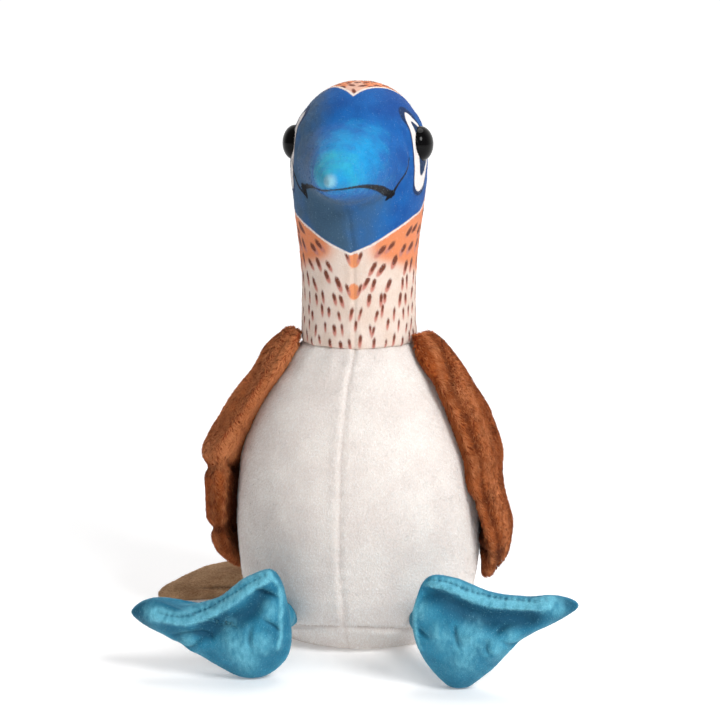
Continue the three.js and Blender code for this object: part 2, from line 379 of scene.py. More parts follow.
@dataclass(frozen=True)
class Plush:
    """Knitted polyester pile, brushed one way and sheared.

    The pile stands in patches that lean differently, so the cloth looks cloudy and its tips catch a sheen.
    Each layer is a mask's name, where it starts and is full, and the colour laid on there.
    """

    name: str
    light: str
    dark: str
    shade: str
    nap_mm: float = 14.0
    fibre_mm: float = 0.9
    fibre_depth_mm: float = 0.35
    roughness: float = 0.85
    sheen: float = 0.25
    sheen_roughness: float = 0.45
    sheen_tint: str = "#ffffff"
    specular: float = 0.2
    fleck: str = ""
    layers: tuple[tuple[str, float, float, str], ...] = ()

    def build(self) -> Material:
        """The node material: nap patches, printed layers, layers of painted shade and highlight, painted shade
        at the roots and fine pile bump.
        """
        made, tree = blank_material(self.name)
        nap = cloudy(tree, self.nap_mm, 3.0, 0.36, 0.64)
        colour = mix(tree, nap, rgba(self.dark), rgba(self.light))
        for name, low, high, code in self.layers:
            colour = mix(tree, mask(tree, name, low, high), colour, rgba(code))
        # A few tips lie across the others and catch the light, which reads as pale flecks.
        if self.fleck:
            colour = mix(tree, mask(tree, "fleck", 0.86, 1.1), colour, rgba(self.fleck))
        # Between the tips the fibres shade one another, so folds and roots read deeper than the tips.
        colour = mix(tree, mask(tree, "depth"), colour, self.shaded(tree, colour))
        fibre = cloudy(tree, self.fibre_mm, 2.0, 0.3, 0.7)
        height = {"Height": fibre, "Distance": self.fibre_depth_mm * MM, "Strength": 0.6}
        bump = add_node(tree, "ShaderNodeBump", height).outputs["Normal"]
        inputs = {
            "Base Color": colour,
            "Roughness": self.roughness,
            "Normal": bump,
            "IOR": 1.46,
            "Specular IOR Level": self.specular,
            "Sheen Weight": self.sheen,
            "Sheen Roughness": self.sheen_roughness,
            "Sheen Tint": rgba(self.sheen_tint),
        }
        surface(tree, inputs)
        return made

    def shaded(self, tree: Tree, colour: Socket) -> Socket:
        """The colour as it looks down between the fibres."""
        inputs = {0: 1.0, 6: colour, 7: rgba(self.shade)}
        return add_node(tree, "ShaderNodeMix", inputs, data_type="RGBA", blend_type="MULTIPLY").outputs[2]


@dataclass(frozen=True)
class GlossyDome:
    """Injection-moulded black acrylic of a safety eye: a hard, mirror-smooth dome."""

    name: str = "moulded_black_acrylic"
    colour: str = "#070708"
    roughness: float = 0.04
    ior: float = 1.49
    specular: float = 0.1

    def build(self) -> Material:
        """The node material, with very faint moulding waviness that softens the highlight's edge."""
        made, tree = blank_material(self.name)
        wave = cloudy(tree, 5.0, 1.0, 0.2, 0.8)
        colour = mix(tree, wave, rgba(self.colour), rgba("#0b0a0b"))
        inputs = {
            "Base Color": colour,
            "Roughness": self.roughness,
            "IOR": self.ior,
            "Specular IOR Level": self.specular,
        }
        surface(tree, inputs)
        return made


@dataclass(frozen=True)
class StudioBoard:
    """Opal white acrylic of a product table, lit from below, and more so away from the toy."""

    name: str = "opal_acrylic"
    colour: str = "#fafafa"
    near_m: float = 0.25
    far_m: float = 1.6
    near_glow: float = 0.19
    glow: float = 0.62

    def build(self) -> Material:
        """A flat pale board with a faint mottle."""
        made, tree = blank_material(self.name)
        mottle = cloudy(tree, 40.0, 2.0, 0.3, 0.7)
        colour = mix(tree, mottle, rgba(self.colour), rgba("#f8f8f8"))
        place = add_node(tree, "ShaderNodeTexCoord").outputs["Object"]
        away = add_node(tree, "ShaderNodeVectorMath", {0: place}, operation="LENGTH").outputs["Value"]
        inputs = {
            "Base Color": colour,
            "Roughness": 0.9,
            "Emission Color": (1, 1, 1, 1),
            "Emission Strength": eased(tree, away, self.near_m, self.far_m, self.near_glow, self.glow),
        }
        surface(tree, inputs)
        return made


WHITE_MINKY = Plush(
    "sheared_white_minky",
    light="#f9f6f3",
    dark="#f2edea",
    shade="#ece5e0",
    nap_mm=16.0,
    fibre_mm=1.0,
    fibre_depth_mm=0.22,
    sheen=0.12,
    layers=(
        # Painted shade along the seams.
        ("painted_shade", 0.0, 1.0, "#cdbfb8"),
        ("brown_back", -0.4, 0.4, "#8c4824"),
        ("back_nap", 0.0, 1.0, "#bd6a38"),
    ),
)
BROWN_PLUSH = Plush(
    "brushed_brown_plush",
    light="#c06430",
    dark="#9a4c22",
    shade="#a05a3c",
    nap_mm=9.0,
    fibre_mm=1.2,
    fibre_depth_mm=0.45,
    sheen=0.2,
    sheen_tint="#f0a878",
    specular=0.1,
    fleck="#dc9464",
    layers=(
        # Painted shade in the folds, seam and pocket; painted highlight on the crests and rolled edges.
        ("painted_shade", 0.0, 1.0, "#5a2612"),
        ("painted_highlight", 0.0, 1.0, "#dc8c5a"),
    ),
)
TAN_PLUSH = Plush(
    "brushed_tan_plush",
    light="#cfab86",
    dark="#b28e6b",
    shade="#b09478",
    nap_mm=12.0,
    fibre_depth_mm=0.3,
    sheen=0.2,
    sheen_tint="#e8c8a8",
    layers=(
        # Painted shade along the edge seam; painted highlight on the fold crests.
        ("painted_shade", 0.0, 1.0, "#6b4e36"),
        ("painted_highlight", 0.0, 1.0, "#c2a283"),
    ),
)
TEAL_VELBOA = Plush(
    "sheared_teal_velboa",
    light="#3a9cbc",
    dark="#2c86a6",
    shade="#5a98b0",
    nap_mm=12.0,
    fibre_mm=0.7,
    fibre_depth_mm=0.2,
    roughness=0.55,
    sheen=0.55,
    sheen_roughness=0.35,
    sheen_tint="#a8f0ff",
    fleck="#a8ecf8",
    layers=(
        # Painted shade in the tucks and creases; painted highlight on the roll, rim, stitches and lobes.
        ("painted_shade", 0.0, 1.0, "#175f7d"),
        ("painted_highlight", 0.0, 1.0, "#86d8ea"),
    ),
)
PRINTED_VELBOA = Plush(
    "heat_printed_velboa",
    light="#f2e6dc",
    dark="#ecdccf",
    shade="#d6c4ba",
    nap_mm=10.0,
    fibre_mm=0.7,
    fibre_depth_mm=0.15,
    roughness=0.66,
    sheen=0.08,
    specular=0.12,
    fleck="#a8cce0",
    layers=(
        ("warm", 0.0, 1.0, "#ec9668"),
        ("speck_fill", 0.0, 1.0, "#f0a070"),
        ("speck_rose", -0.45, 0.45, "#cf8c7e"),
        ("speck", -0.45, 0.35, "#7a4636"),
        ("rim", -0.3, 0.3, "#f6f0ea"),
        ("blue", -0.3, 0.3, "#186cbe"),
        ("deep", 0.0, 1.0, "#1552a2"),
        # Painted shade on the face's right side and under the beak.
        ("painted_face_shade", 0.0, 1.0, "#446684"),
        # Lighter blue on the beak's top: partly the print's gradient, partly painted highlight.
        ("glow", 0.0, 1.0, "#12a0e2"),
        # Painted highlight on the beak's tip, with a paler halo round it.
        ("teal", 0.0, 1.0, "#28b6d0"),
        ("tip", 0.0, 1.0, "#8fcbe0"),
        ("halo", -0.3, 0.4, "#143464"),
        ("eye_white", -0.25, 0.25, "#f6f5f5"),
        ("eye_navy", -0.25, 0.25, "#16365f"),
        ("mouth", -0.25, 0.25, "#0b0d14"),
    ),
)


# Pile


@dataclass(frozen=True)
class Pile:
    """Fibre tufts that stand out of a skin, each a slim blade that leans along the cloth's lie."""

    length_mm: float
    width_mm: float
    count: int
    lean: float
    lie: tuple[float, float, float] = (0.0, 0.0, -1.0)
    bent: bool = False
    scatter: float = 0.5
    root_shade: float = 0.45
    facing: float = 0.25
    rooted_mm: float = 0.15
    patch: float = 0.0014
    seed: int = 1

    def grow(
        self,
        name: str,
        skin: Piece,
        masks: Callable[[Array, Array], Masks],
        unwrap: Callable[[Array, Array], Array],
        keep: Callable[[Array], Array] | None = None,
        flow: Callable[[Array], Array] | None = None,
    ) -> Piece:
        """Grows the tufts over the whole skin.

        Args:
            name: the coat's name.
            skin: the closed skin they root in.
            masks: gives the named masks at roots with their normals.
            unwrap: gives each root's place on an unwrap of the skin.
            keep: tells which roots may carry a tuft, if not all.
            flow: gives the way the tufts lie at each root, if not one way all over.

        Returns:
            The coat, one joined mesh.
        """
        draw = np.random.default_rng(self.seed)
        root, up = self.scattered(skin, draw)
        if keep is not None:
            good = keep(root)
            root, up = root[good], up[good]
        combed = flow(root) if flow is not None else np.asarray(self.lie, float)
        stack, faces, patch, climb = self.blades(root, up, combed, draw)
        n, per = stack.shape[:2]
        first = stack[:, faces[0]]
        face_up = np.cross(first[:, 1] - first[:, 0], first[:, 2] - first[:, 0])
        flip = (face_up * up).sum(1) < 0
        all_faces = faces[None] + (np.arange(n) * per)[:, None, None]
        all_faces = np.where(flip[:, None, None], all_faces[:, :, ::-1], all_faces).reshape(-1, 3)
        coat = self.joined(name, stack.reshape(-1, 3), all_faces)
        face_way = unit(np.where(flip[:, None], -face_up, face_up))
        shade_way = np.repeat(unit(up * 0.8 + face_way * self.facing), per, 0)
        coat.data.normals_split_custom_set_from_vertices(shade_way.tolist())
        values = {key: np.repeat(value, per) for key, value in masks(root, up).items()}
        values["depth"] = np.tile(1 - climb, n) * self.root_shade + np.repeat(draw.random(n), per) * 0.08
        values["fleck"] = np.repeat(draw.random(n), per)
        paint(coat, values)
        places = np.repeat(unwrap(root, up), per, 0) + np.tile(patch, (n, 1))
        layer = coat.data.uv_layers.new(name="OFBake")
        layer.data.foreach_set("uv", places[all_faces.ravel()].astype(np.float32).ravel())
        return coat

    def scattered(self, skin: Piece, draw: np.random.Generator) -> tuple[Array, Array]:
        """Roots spread evenly over the skin, and the way up at each."""
        skin.data.calc_loop_triangles()
        corners = np.empty(len(skin.data.loop_triangles) * 3, np.int64)
        skin.data.loop_triangles.foreach_get("vertices", corners)
        corners = corners.reshape(-1, 3)
        points, normals = points_of(skin), normals_of(skin)
        a, b, c = (points[corners[:, k]] for k in range(3))
        area = np.linalg.norm(np.cross(b - a, c - a), axis=1)
        pick = draw.choice(len(corners), self.count, p=area / area.sum())
        u, v = draw.random(self.count), draw.random(self.count)
        fold = u + v > 1
        u, v = np.where(fold, 1 - u, u), np.where(fold, 1 - v, v)
        weights = np.stack([1 - u - v, u, v], 1)[:, :, None]
        root = (points[corners[pick]] * weights).sum(1)
        return root, unit((normals[corners[pick]] * weights).sum(1))

    def blades(
        self, root: Array, up: Array, combed: Array, draw: np.random.Generator
    ) -> tuple[Array, Array, Array, Array]:
        """One blade at each root, with a knee in it if the pile is bent.

        Args:
            root: where each blade stands.
            up: the skin's normal there.
            combed: the way the pile lies.
            draw: where the random numbers come from.

        Returns:
            The blades' corners, the faces of one blade, its patch on the unwrap, and how high up the blade
            each corner is, from 0 to 1.
        """
        n = len(root)
        lie = combed + draw.normal(0, self.scatter, (n, 3))
        lie = unit(lie - (lie * up).sum(1, keepdims=True) * up)
        rise = np.clip(1 - self.lean + draw.normal(0, 0.12, (n, 1)), 0.12, 1)
        way = unit(up * rise + lie * (1 - rise * 0.6))
        across = unit(np.cross(up, way) + draw.normal(0, 0.35, (n, 3)))
        length = self.length_mm * (0.75 + 0.5 * draw.random((n, 1)))
        half = across * self.width_mm / 2
        foot = root - up * self.rooted_mm
        if self.bent:
            knee = foot + unit(up * (rise + 0.35) + lie * 0.6) * length * 0.5
            tip = knee + unit(up * rise * 0.6 + lie) * length * 0.5
            stack = np.stack([foot - half, foot + half, knee + half * 0.8, knee - half * 0.8, tip], 1)
            faces = np.array([[0, 1, 2], [0, 2, 3], [3, 2, 4]])
            patch = np.array([[-1, -1], [1, -1], [1, 0], [-1, 0], [0, 1]])
            return stack, faces, patch * self.patch, np.array([0, 0, 0.5, 0.5, 1.0])
        stack = np.stack([foot - half, foot + half, foot + way * length], 1)
        patch = np.array([[-1, -1], [1, -1], [0, 1]])
        return stack, np.array([[0, 1, 2]]), patch * self.patch, np.array([0, 0, 1.0])

    @staticmethod
    def joined(name: str, points: Array, faces: Array) -> Piece:
        """One object from many small triangles."""
        data = bpy.data.meshes.new(name)
        data.vertices.add(len(points))
        data.vertices.foreach_set("co", (points * MM).ravel())
        data.loops.add(faces.size)
        data.loops.foreach_set("vertex_index", faces.ravel().astype(np.int32))
        data.polygons.add(len(faces))
        data.polygons.foreach_set("loop_start", np.arange(0, faces.size, 3, dtype=np.int32))
        data.polygons.foreach_set("use_smooth", [True] * len(faces))
        data.update(calc_edges=True)
        data.validate()
        return placed(name, data)


def round_unwrap(points: Array, normals: Array) -> Array:
    """A place on a sleeve unrolled round the upright axis."""
    turn = heading(points) / (2 * math.pi) + 0.5
    return np.stack([0.01 + 0.98 * turn, 0.01 + 0.98 * np.clip(points[:, 2] / 280, 0, 1)], 1)


def dress(piece: Piece, material: Material) -> None:
    """Gives a piece its finish and lets it ride with the frame."""
    piece.data.materials.clear()
    piece.data.materials.append(material)
    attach(piece, "root")


# How many steps the filling is given to push the cloth out.
FILLING_STEPS = 20


def stuff(piece: Piece, pressure: float, cap_mm: float, free: Array, voxel_mm: float = 5.0) -> None:
    """Inflates a sewn piece with cloth simulation on a coarse copy, and carries the swell and creases over.

    Args:
        piece: the closed skin, a little smaller than the filled piece.
        pressure: how hard the filling pushes.
        cap_mm: how far a point may move.
        free: how freely each point moves, from 0 at a stiff sewn rim to 1.
        voxel_mm: the coarse copy's edge length.
    """
    form = piece.copy()
    form.data = piece.data.copy()
    bpy.context.scene.collection.objects.link(form)
    apply_modifier(form, "REMESH", mode="VOXEL", voxel_size=voxel_mm * MM)
    before = points_of(form)
    added = form.modifiers.new("filling", "CLOTH")
    rules = added.settings
    rules.use_pressure = True
    rules.uniform_pressure_force = pressure
    rules.effector_weights.gravity = 0
    rules.quality = 5
    rules.mass = 0.15
    rules.tension_stiffness = rules.compression_stiffness = 15
    rules.bending_stiffness = 0.5
    scene = bpy.context.scene
    for step in range(1, FILLING_STEPS + 1):
        scene.frame_set(step)
    shown = form.evaluated_get(bpy.context.evaluated_depsgraph_get())
    move = points_of(shown) - before
    far = np.linalg.norm(move, axis=1, keepdims=True)
    move *= np.minimum(1, cap_mm / np.maximum(far, 1e-6))
    bpy.data.objects.remove(form)
    scene.frame_set(1)
    tree = KDTree(len(before))
    for i, place in enumerate(before):
        tree.insert(place, i)
    tree.balance()
    points = points_of(piece)
    carried = np.zeros_like(points)
    for i, place in enumerate(points):
        near = tree.find_n(place, 5)
        weight = np.array([1 / (0.5 + d) ** 2 for _, _, d in near])
        carried[i] = (move[[k for _, k, _ in near]] * weight[:, None]).sum(0) / weight.sum() * free[i]
    log.info("%s: filled, moved up to %.1f mm", piece.name, float(np.linalg.norm(carried, axis=1).max()))
    move_points(piece, points + carried)


# The toy's sewn parts


class Side(Enum):
    """The toy's own two sides, with the way each lies along X."""

    RIGHT = -1
    LEFT = 1

    @property
    def word(self) -> str:
        """The side's name as the frame spells it."""
        return self.name.lower()


@dataclass(frozen=True)
class Station:
    """One named level of an upright stuffed form, in millimetres."""

    z: float
    side: float
    front: float
    back: float


def read_stations(stations: Sequence[object], name: str, z: Array) -> Array:
    """One named size at each height, eased between the stations."""
    return through([s.z for s in stations], [getattr(s, name) for s in stations], z)


def upright_grid(
    stations: Sequence[Station], low: float, high: float, rings: int, sides: int, inset: float
) -> Array:
    """Rings of an upright form between two heights.

    Args:
        stations: the named levels.
        low: the lowest ring's height.
        high: the highest ring's height.
        rings: how many rings.
        sides: how many points in a ring; the first lies at +X.
        inset: how far the skin lies inside the named sizes.

    Returns:
        The points, rings by sides by 3.
    """
    z = np.linspace(low, high, rings)[:, None]
    angle = turns(sides)[None]
    wide, front, back = (read_stations(stations, name, z) - inset for name in ("side", "front", "back"))
    deep = np.where(np.sin(angle) < 0, front, back)
    return np.stack([wide * np.cos(angle), deep * np.sin(angle), z + 0 * angle], -1)


@dataclass
class Torso:
    """The white egg-shaped body: two front panels, a brown back panel and a round base panel."""

    stations: tuple[Station, ...] = (
        Station(0, 40, 34, 36),
        Station(13, 51.5, 46, 46),
        Station(32, 59.5, 54, 51),
        Station(58, 61.5, 56, 52),
        Station(86, 60, 53, 50),
        Station(112, 51.5, 46, 44),
        Station(134, 38.5, 36, 36),
        Station(147, 28, 28.5, 29),
        Station(151, 12, 12, 12),
    )
    inset: float = 1.3
    base_seam_z: float = 11.0
    base_seam_rise: float = 4.7
    seam_line: Places = (
        (151, 2.0),
        (144.9, 1.9),
        (129.5, -0.3),
        (112.5, -0.9),
        (95.4, -1.3),
        (54.6, -1.5),
        (24.9, -0.4),
        (10, 0.0),
    )
    back_seam_turn: float = math.radians(118)
    seam_away: float = 90.0
    seam_depth: float = 1.1
    seam_reach: float = 1.1
    dent: float = 0.5
    dent_size: float = 30.0
    pucker: float = 0.16
    gather: float = 0.3
    neck_z: float = 147.0
    pile: Pile = Pile(
        length_mm=1.5, width_mm=0.4, count=180000, lean=0.8, root_shade=0.14, facing=0.1, seed=11
    )

    def seams(self, points: Array) -> tuple[Array, Array, Array]:
        """Signed distances in millimetres to the front seam, the back panel's seams and the base seam."""
        x, y, z = points.T
        turn = heading(points)
        heights, places = zip(*self.seam_line)
        front = np.where(y < 0, x - through(heights, places, z), self.seam_away)
        back = (np.abs(turn) - self.back_seam_turn) * np.hypot(x, y)
        base = z - self.base_seam_z - self.base_seam_rise * bell(turn, 0.65)
        return front, back, base

    def masks(self, points: Array, normals: Array) -> Masks:
        """Millimetres inside the brown back panel, its lighter tufts, and the painted shade in the seams."""
        front, back, base = self.seams(points)
        # Painted shade lies along every seam, fainter on the front one.
        line = np.minimum(np.minimum(np.abs(front), np.abs(back)), np.abs(base))
        faint = np.where(np.abs(front) < 4, 0.4, 0.7)
        brown = np.minimum(back, base)
        # The brushed brown pile stands in small tufts that lie this way and that.
        tufts = smoothstep(-0.3, 0.9, ripple(points * [1, 1, 0.6], 4.0, 6.6) + 0.7 * ripple(points, 1.6, 2.9))
        return {
            "brown_back": brown,
            "back_nap": 0.75 * tufts * smoothstep(0, 1.5, brown),
            "painted_shade": faint * bell(line, 0.7),
        }

    def build(self) -> list[Piece]:
        """The skin with its seams and soft dents, and the minky pile on it."""
        grid = upright_grid(self.stations, self.inset, 150.0, 190, 260, self.inset)
        skin = ring_skin("torso_skin", grid)
        points, normals = points_of(skin), normals_of(skin)
        z = points[:, 2]
        front, back, base = self.seams(points)
        above = smoothstep(-2, 2, base)
        ahead = smoothstep(0.0, 8.0, -points[:, 1]) * above
        push = self.dent * ripple(points, self.dent_size, 3.1) + 0.16 * ripple(points, 9, 5.7)
        # The stitches pucker the cloth beside the front seam, and gather it round the neck.
        wave = np.sin(z * 0.9 + 1.7 * ripple(points, 14, 2.2))
        push += wave * self.pucker * bell(front, 6) * ahead
        push -= 0.7 * self.seam_depth * bell(front, self.seam_reach) * ahead
        push += 0.4 * bell(front + 3.0, 2.2) * ahead
        push -= self.seam_depth * bell(back, self.seam_reach) * above
        push -= self.seam_depth * 0.9 * bell(base, 1.7)
        wave = np.sin(heading(points) * 13 + 2 * ripple(points, 40, 8))
        push += self.gather * wave * bell(z - self.neck_z + 5, 6)
        push = push * smoothstep(0.0, 6.0, z) * smoothstep(self.neck_z + 4, self.neck_z, z)
        move_points(skin, points + normals * push[:, None])
        paint(skin, {**self.masks(points, normals), "depth": np.full(len(points), 0.8)})
        cloth = WHITE_MINKY.build()
        dress(skin, cloth)
        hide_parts("torso")
        clear = lambda root: (root[:, 2] > 1.8) & (root[:, 2] < 148)
        coat = self.pile.grow("torso_pile", skin, self.masks, round_unwrap, clear)
        dress(coat, cloth)
        return [skin, coat]


@dataclass(frozen=True)
class HeadPrint:
    """The markings printed on the head's and neck's cloth, with painted shade and highlights over the blue.

    A place on the sleeve is the arc round from the middle of the face and the height, both in millimetres.
    A place on the profile is the distance ahead or behind (y) and the height.
    """

    sleeve_radius: float = 31.0
    chin_edge: Places = (
        (0, 193.2),
        (10.8, 197.7),
        (22, 203.9),
        (32.7, 208.6),
        (43.1, 212.2),
        (53, 221),
        (58, 236),
    )
    crown_tip_y: float = -19.4
    crown_flare: float = 1.03
    crown_slope: float = 1.44
    crown_z: float = 250.0
    rim: float = 1.1
    left_profile: Places = (
        (-88, 228.2),
        (-79, 228.6),
        (-67.5, 228.7),
        (-54, 227.6),
        (-40.5, 225.3),
        (-30, 222.3),
        (-26, 220.6),
    )
    left_hook: Places = ((19.4, 221.4), (18.4, 220.4), (16.7, 218.4))
    right_hook: Places = ((-24.8, 223.8), (-23.4, 221.4), (-22.4, 218.4))
    right_profile: Places = (
        (-88, 228.2),
        (-79, 228.2),
        (-71, 227.3),
        (-60, 226.6),
        (-50, 226.0),
        (-36, 225.0),
        (-28, 224.4),
        (-23, 223.4),
    )
    mouth_end_y: tuple[float, float] = (-26.6, -23.0)
    left_cheek: Places = ((19.0, 219.8), (22.4, 226.2), (26.4, 231.8), (29.0, 237.4))
    right_cheek: Places = ((-22.6, 219.2), (-29.0, 223.8), (-32.9, 229.6), (-36.6, 235.5))
    white_drop: Places = (
        (-11.0, 258.0),
        (-14.7, 254.6),
        (-15.6, 244.0),
        (-16.2, 233.7),
        (-15.6, 224.2),
        (-12.3, 221.0),
        (-6.5, 223.4),
        (-1.8, 231.6),
        (2.6, 241.0),
        (-5.4, 251.2),
    )
    navy_drop: Places = (
        (-11.6, 254.0),
        (-11.4, 244.0),
        (-10.6, 228.3),
        (-4.0, 232.6),
        (0.2, 241.0),
        (-5.0, 248.6),
    )
    right_cheek_back: float = 1.4
    speck_rows: tuple[float, ...] = (
        *(149.6, 156.4, 163.2, 170.4, 178.0, 186.0),
        *(194.4, 203.0, 212.0, 221.0, 230.0, 239.0, 248.0),
    )
    seed: int = 7

    def sleeve(self, points: Array) -> Array:
        """Each point's arc and height."""
        arc = heading(points) * self.sleeve_radius
        return np.stack([arc, points[:, 2]], 1)

    def blue(self, points: Array, place: Array) -> Array:
        """Millimetres inside the blue mask, which ends in a V under the chin and another on the forehead."""
        arm = flat_curve(self.chin_edge, 40)
        arm = np.vstack([arm, [[58.4, 320.0]]])
        loop = np.vstack([arm, arm[::-1] * [-1, 1]])[:-1]
        face = inside_loop(place, loop)
        crown = self.crown_tip_y + self.crown_flare * np.abs(points[:, 0]) - points[:, 1]
        return np.where(points[:, 2] > self.crown_z, np.minimum(face, crown / self.crown_slope), face)

    def mouth(self, points: Array, place: Array) -> Array:
        """Millimetres inside the black mouth line, its hooked corners and the thin cheek lines."""
        y = points[:, 1]
        # The print's two halves don't meet quite level, so each has its own line.
        left, _ = distance_to_line(points[:, 1:], flat_curve(self.left_profile, 50))
        left = np.interp(y, [-88, -79, -66, -54, -40, -30], [0.45, 0.45, 0.6, 0.95, 1.35, 1.5]) - left
        right, _ = distance_to_line(points[:, 1:], flat_curve(self.right_profile, 50))
        right = np.interp(y, [-88, -60, -45, -32, -24], [0.45, 0.5, 0.65, 0.95, 1.2]) - right
        left_end, right_end = self.mouth_end_y
        left, right = np.where(y < left_end, left, OUTSIDE), np.where(y < right_end, right, OUTSIDE)
        best = np.where(points[:, 0] > -2.0, left, right)
        hooks = ((self.left_hook, 1.7, 0.5), (self.right_hook, 1.6, 0.5))
        for marks, near, far in hooks:
            away, along = distance_to_line(place, flat_curve(marks, 20))
            best = np.maximum(best, near + (far - near) * along - away)
        for marks in (self.left_cheek, self.right_cheek):
            away, along = distance_to_line(place, flat_curve(marks, 30))
            best = np.maximum(best, 0.75 - 0.4 * along - away)
        return best

    def streaks(self) -> tuple[Array, Array, Array]:
        """The printed feather specks on the sleeve.

        Returns:
            The centre of each, its half length and half width, and its tilt from the upright in radians.
        """
        draw = np.random.default_rng(self.seed)
        edge_arc, edge_z = np.array(self.chin_edge).T
        centres, sizes, tilts = [], [], []
        for row, z in enumerate(self.speck_rows):
            count = 32 if z < 175 else 28
            for k in range(count):
                arc = (k + 0.5 * (row % 2) + 0.18 * draw.normal()) / count - 0.5
                arc = arc * 2 * math.pi * self.sleeve_radius
                high = z + 0.9 * draw.normal() + 1.2 * math.sin(arc * 0.35)
                gap = np.interp(abs(arc), edge_arc, edge_z) - high
                ahead = float(smoothstep(75.0, 50.0, np.array(abs(arc))))
                lean = np.interp(gap, [0, 10, 20, 35], [62, 42, 24, 8]) * ahead + 6 * draw.normal()
                grow = float(smoothstep(155.0, 190.0, np.array(high)))
                if abs(arc) < 4.2 and 170 < high:
                    continue
                if -1.5 < gap < 3.2 and abs(arc) < 60:
                    continue
                centres.append((arc, high))
                sizes.append((2.5 + 1.0 * grow + 0.3 * draw.normal(), 0.9 + 0.45 * grow + 0.12 * draw.normal()))
                tilts.append(math.radians(lean) * (1 if arc > 0 else -1))
        # Where the two cheeks meet, the print's halves make a pair of specks that converge on the seam.
        for high in (190.6, 175.2):
            for s in (-1, 1):
                centres.append((s * 2.9 + 1.6, high))
                sizes.append((2.7, 1.0))
                tilts.append(s * math.radians(22))
        return np.array(centres), np.array(sizes), np.array(tilts)

    def crown_streaks(self) -> tuple[Array, Array, Array]:
        """The darker specks on the crown, seen from above as x and y."""
        draw = np.random.default_rng(self.seed + 1)
        centres, sizes, tilts = [], [], []
        for row in range(9):
            for k in range(-5, 6):
                x = (k + 0.5 * (row % 2)) * 4.6 + 0.5 * draw.normal()
                centres.append((x, -16 + row * 5.2 + 0.5 * draw.normal()))
                sizes.append((1.9 + 0.2 * draw.normal(), 0.95 + 0.1 * draw.normal()))
                tilts.append(math.radians(38) * np.sign(x) + 0.15 * draw.normal())
        return np.array(centres), np.array(sizes), np.array(tilts)

    @staticmethod
    def stamped(place: Array, marks: tuple[Array, Array, Array]) -> tuple[Array, Array]:
        """How far each place lies inside the nearest speck.

        Args:
            place: the flat places.
            marks: each speck's centre, half sizes and tilt.

        Returns:
            Millimetres inside the speck, and how far up the speck the place is, from -1 to 1.
        """
        best = np.full(len(place), -4.0)
        up = np.zeros(len(place))
        for (a, b), (long, wide), tilt in zip(*marks):
            near = np.nonzero((np.abs(place[:, 0] - a) < 6) & (np.abs(place[:, 1] - b) < 6))[0]
            da, db = place[near, 0] - a, place[near, 1] - b
            s = da * math.sin(tilt) + db * math.cos(tilt)
            t = da * math.cos(tilt) - db * math.sin(tilt)
            inside = (1 - np.sqrt((s / long) ** 2 + (t / wide) ** 2)) * wide
            better = inside > best[near]
            best[near[better]] = inside[better]
            up[near[better]] = (s / long)[better]
        return best, up

    def masks(self, points: Array, normals: Array) -> Masks:
        """Every marking, and the painted shade and highlights on the blue, as a mask or as millimetres inside
        its edge.
        """
        x, y, z = points.T
        place = self.sleeve(points)
        arc = np.abs(place[:, 0])
        blue = self.blue(points, place)
        low = np.interp(arc, [0, 16, 44, 97], [189, 188, 181, 165])
        warm = smoothstep(low - 4, low + 7, z) * (0.12 + 0.88 * smoothstep(4, 18, arc))
        warm = np.where(z > self.crown_z, np.maximum(warm, 0.5), warm)
        speck, up = self.stamped(place, self.streaks())
        top, top_up = self.stamped(points[:, :2], self.crown_streaks())
        on_top = z > 254
        speck = np.where(on_top, top, speck)
        up = np.where(on_top, top_up + 0.5, up)
        rose = speck.copy()
        dark = np.where(z < 200, speck - 1.0 + 1.1 * (up + 0.35), speck)
        pair = np.minimum(np.abs(z - 190.0), np.abs(z - 174.8))
        fill = smoothstep(4.6, 3.2, np.hypot((place[:, 0] - 1.6) * 1.25, pair)) * (z < 200) * (y < 0)
        # The two cheeks aren't sewn quite alike: the right side's eye mark sits a little farther back.
        cheek = points[:, 1:] - np.where(x < 0, self.right_cheek_back, 0.0)[:, None] * [1.0, 0.0]
        drop = inside_loop(cheek, flat_curve(self.white_drop, 60, True))
        navy = inside_loop(cheek, flat_curve(self.navy_drop, 40, True))
        side = np.abs(x) > 16
        drop = np.where(side, drop, OUTSIDE)
        halo = 0.9 + 1.8 * smoothstep(250, 258, z) + 1.2 * smoothstep(226, 221, z)
        front = smoothstep(-22, -30, y)
        # Painted shade under the beak, below the mouth line.
        under_beak_shade = smoothstep(226, 220, z) * front
        inked = smoothstep(-0.2, 0.4, blue)
        cloud = 0.22 * ripple(points, 7.0, 12.5) + 0.12 * ripple(points * [1, 1, 0.5], 2.6, 14.5)
        # Lighter blue along the beak's top: partly the print's own gradient, partly painted highlight where the
        # top faces the light.
        glow = smoothstep(21, 5, np.abs(x - 3)) * smoothstep(219, 234, z) * smoothstep(259, 243, z) * front
        # Painted highlight on the beak's tip, with a paler halo of painted highlight round it.
        teal = smoothstep(23, 5, np.linalg.norm(points - [-5, -72, 238], axis=1)) * smoothstep(227, 230, z)
        tip = np.linalg.norm((points - [-3.0, -86.5, 233.8]) * [1, 1, 0.8], axis=1)
        tip = smoothstep(9, 2, tip) * smoothstep(228, 231, z)
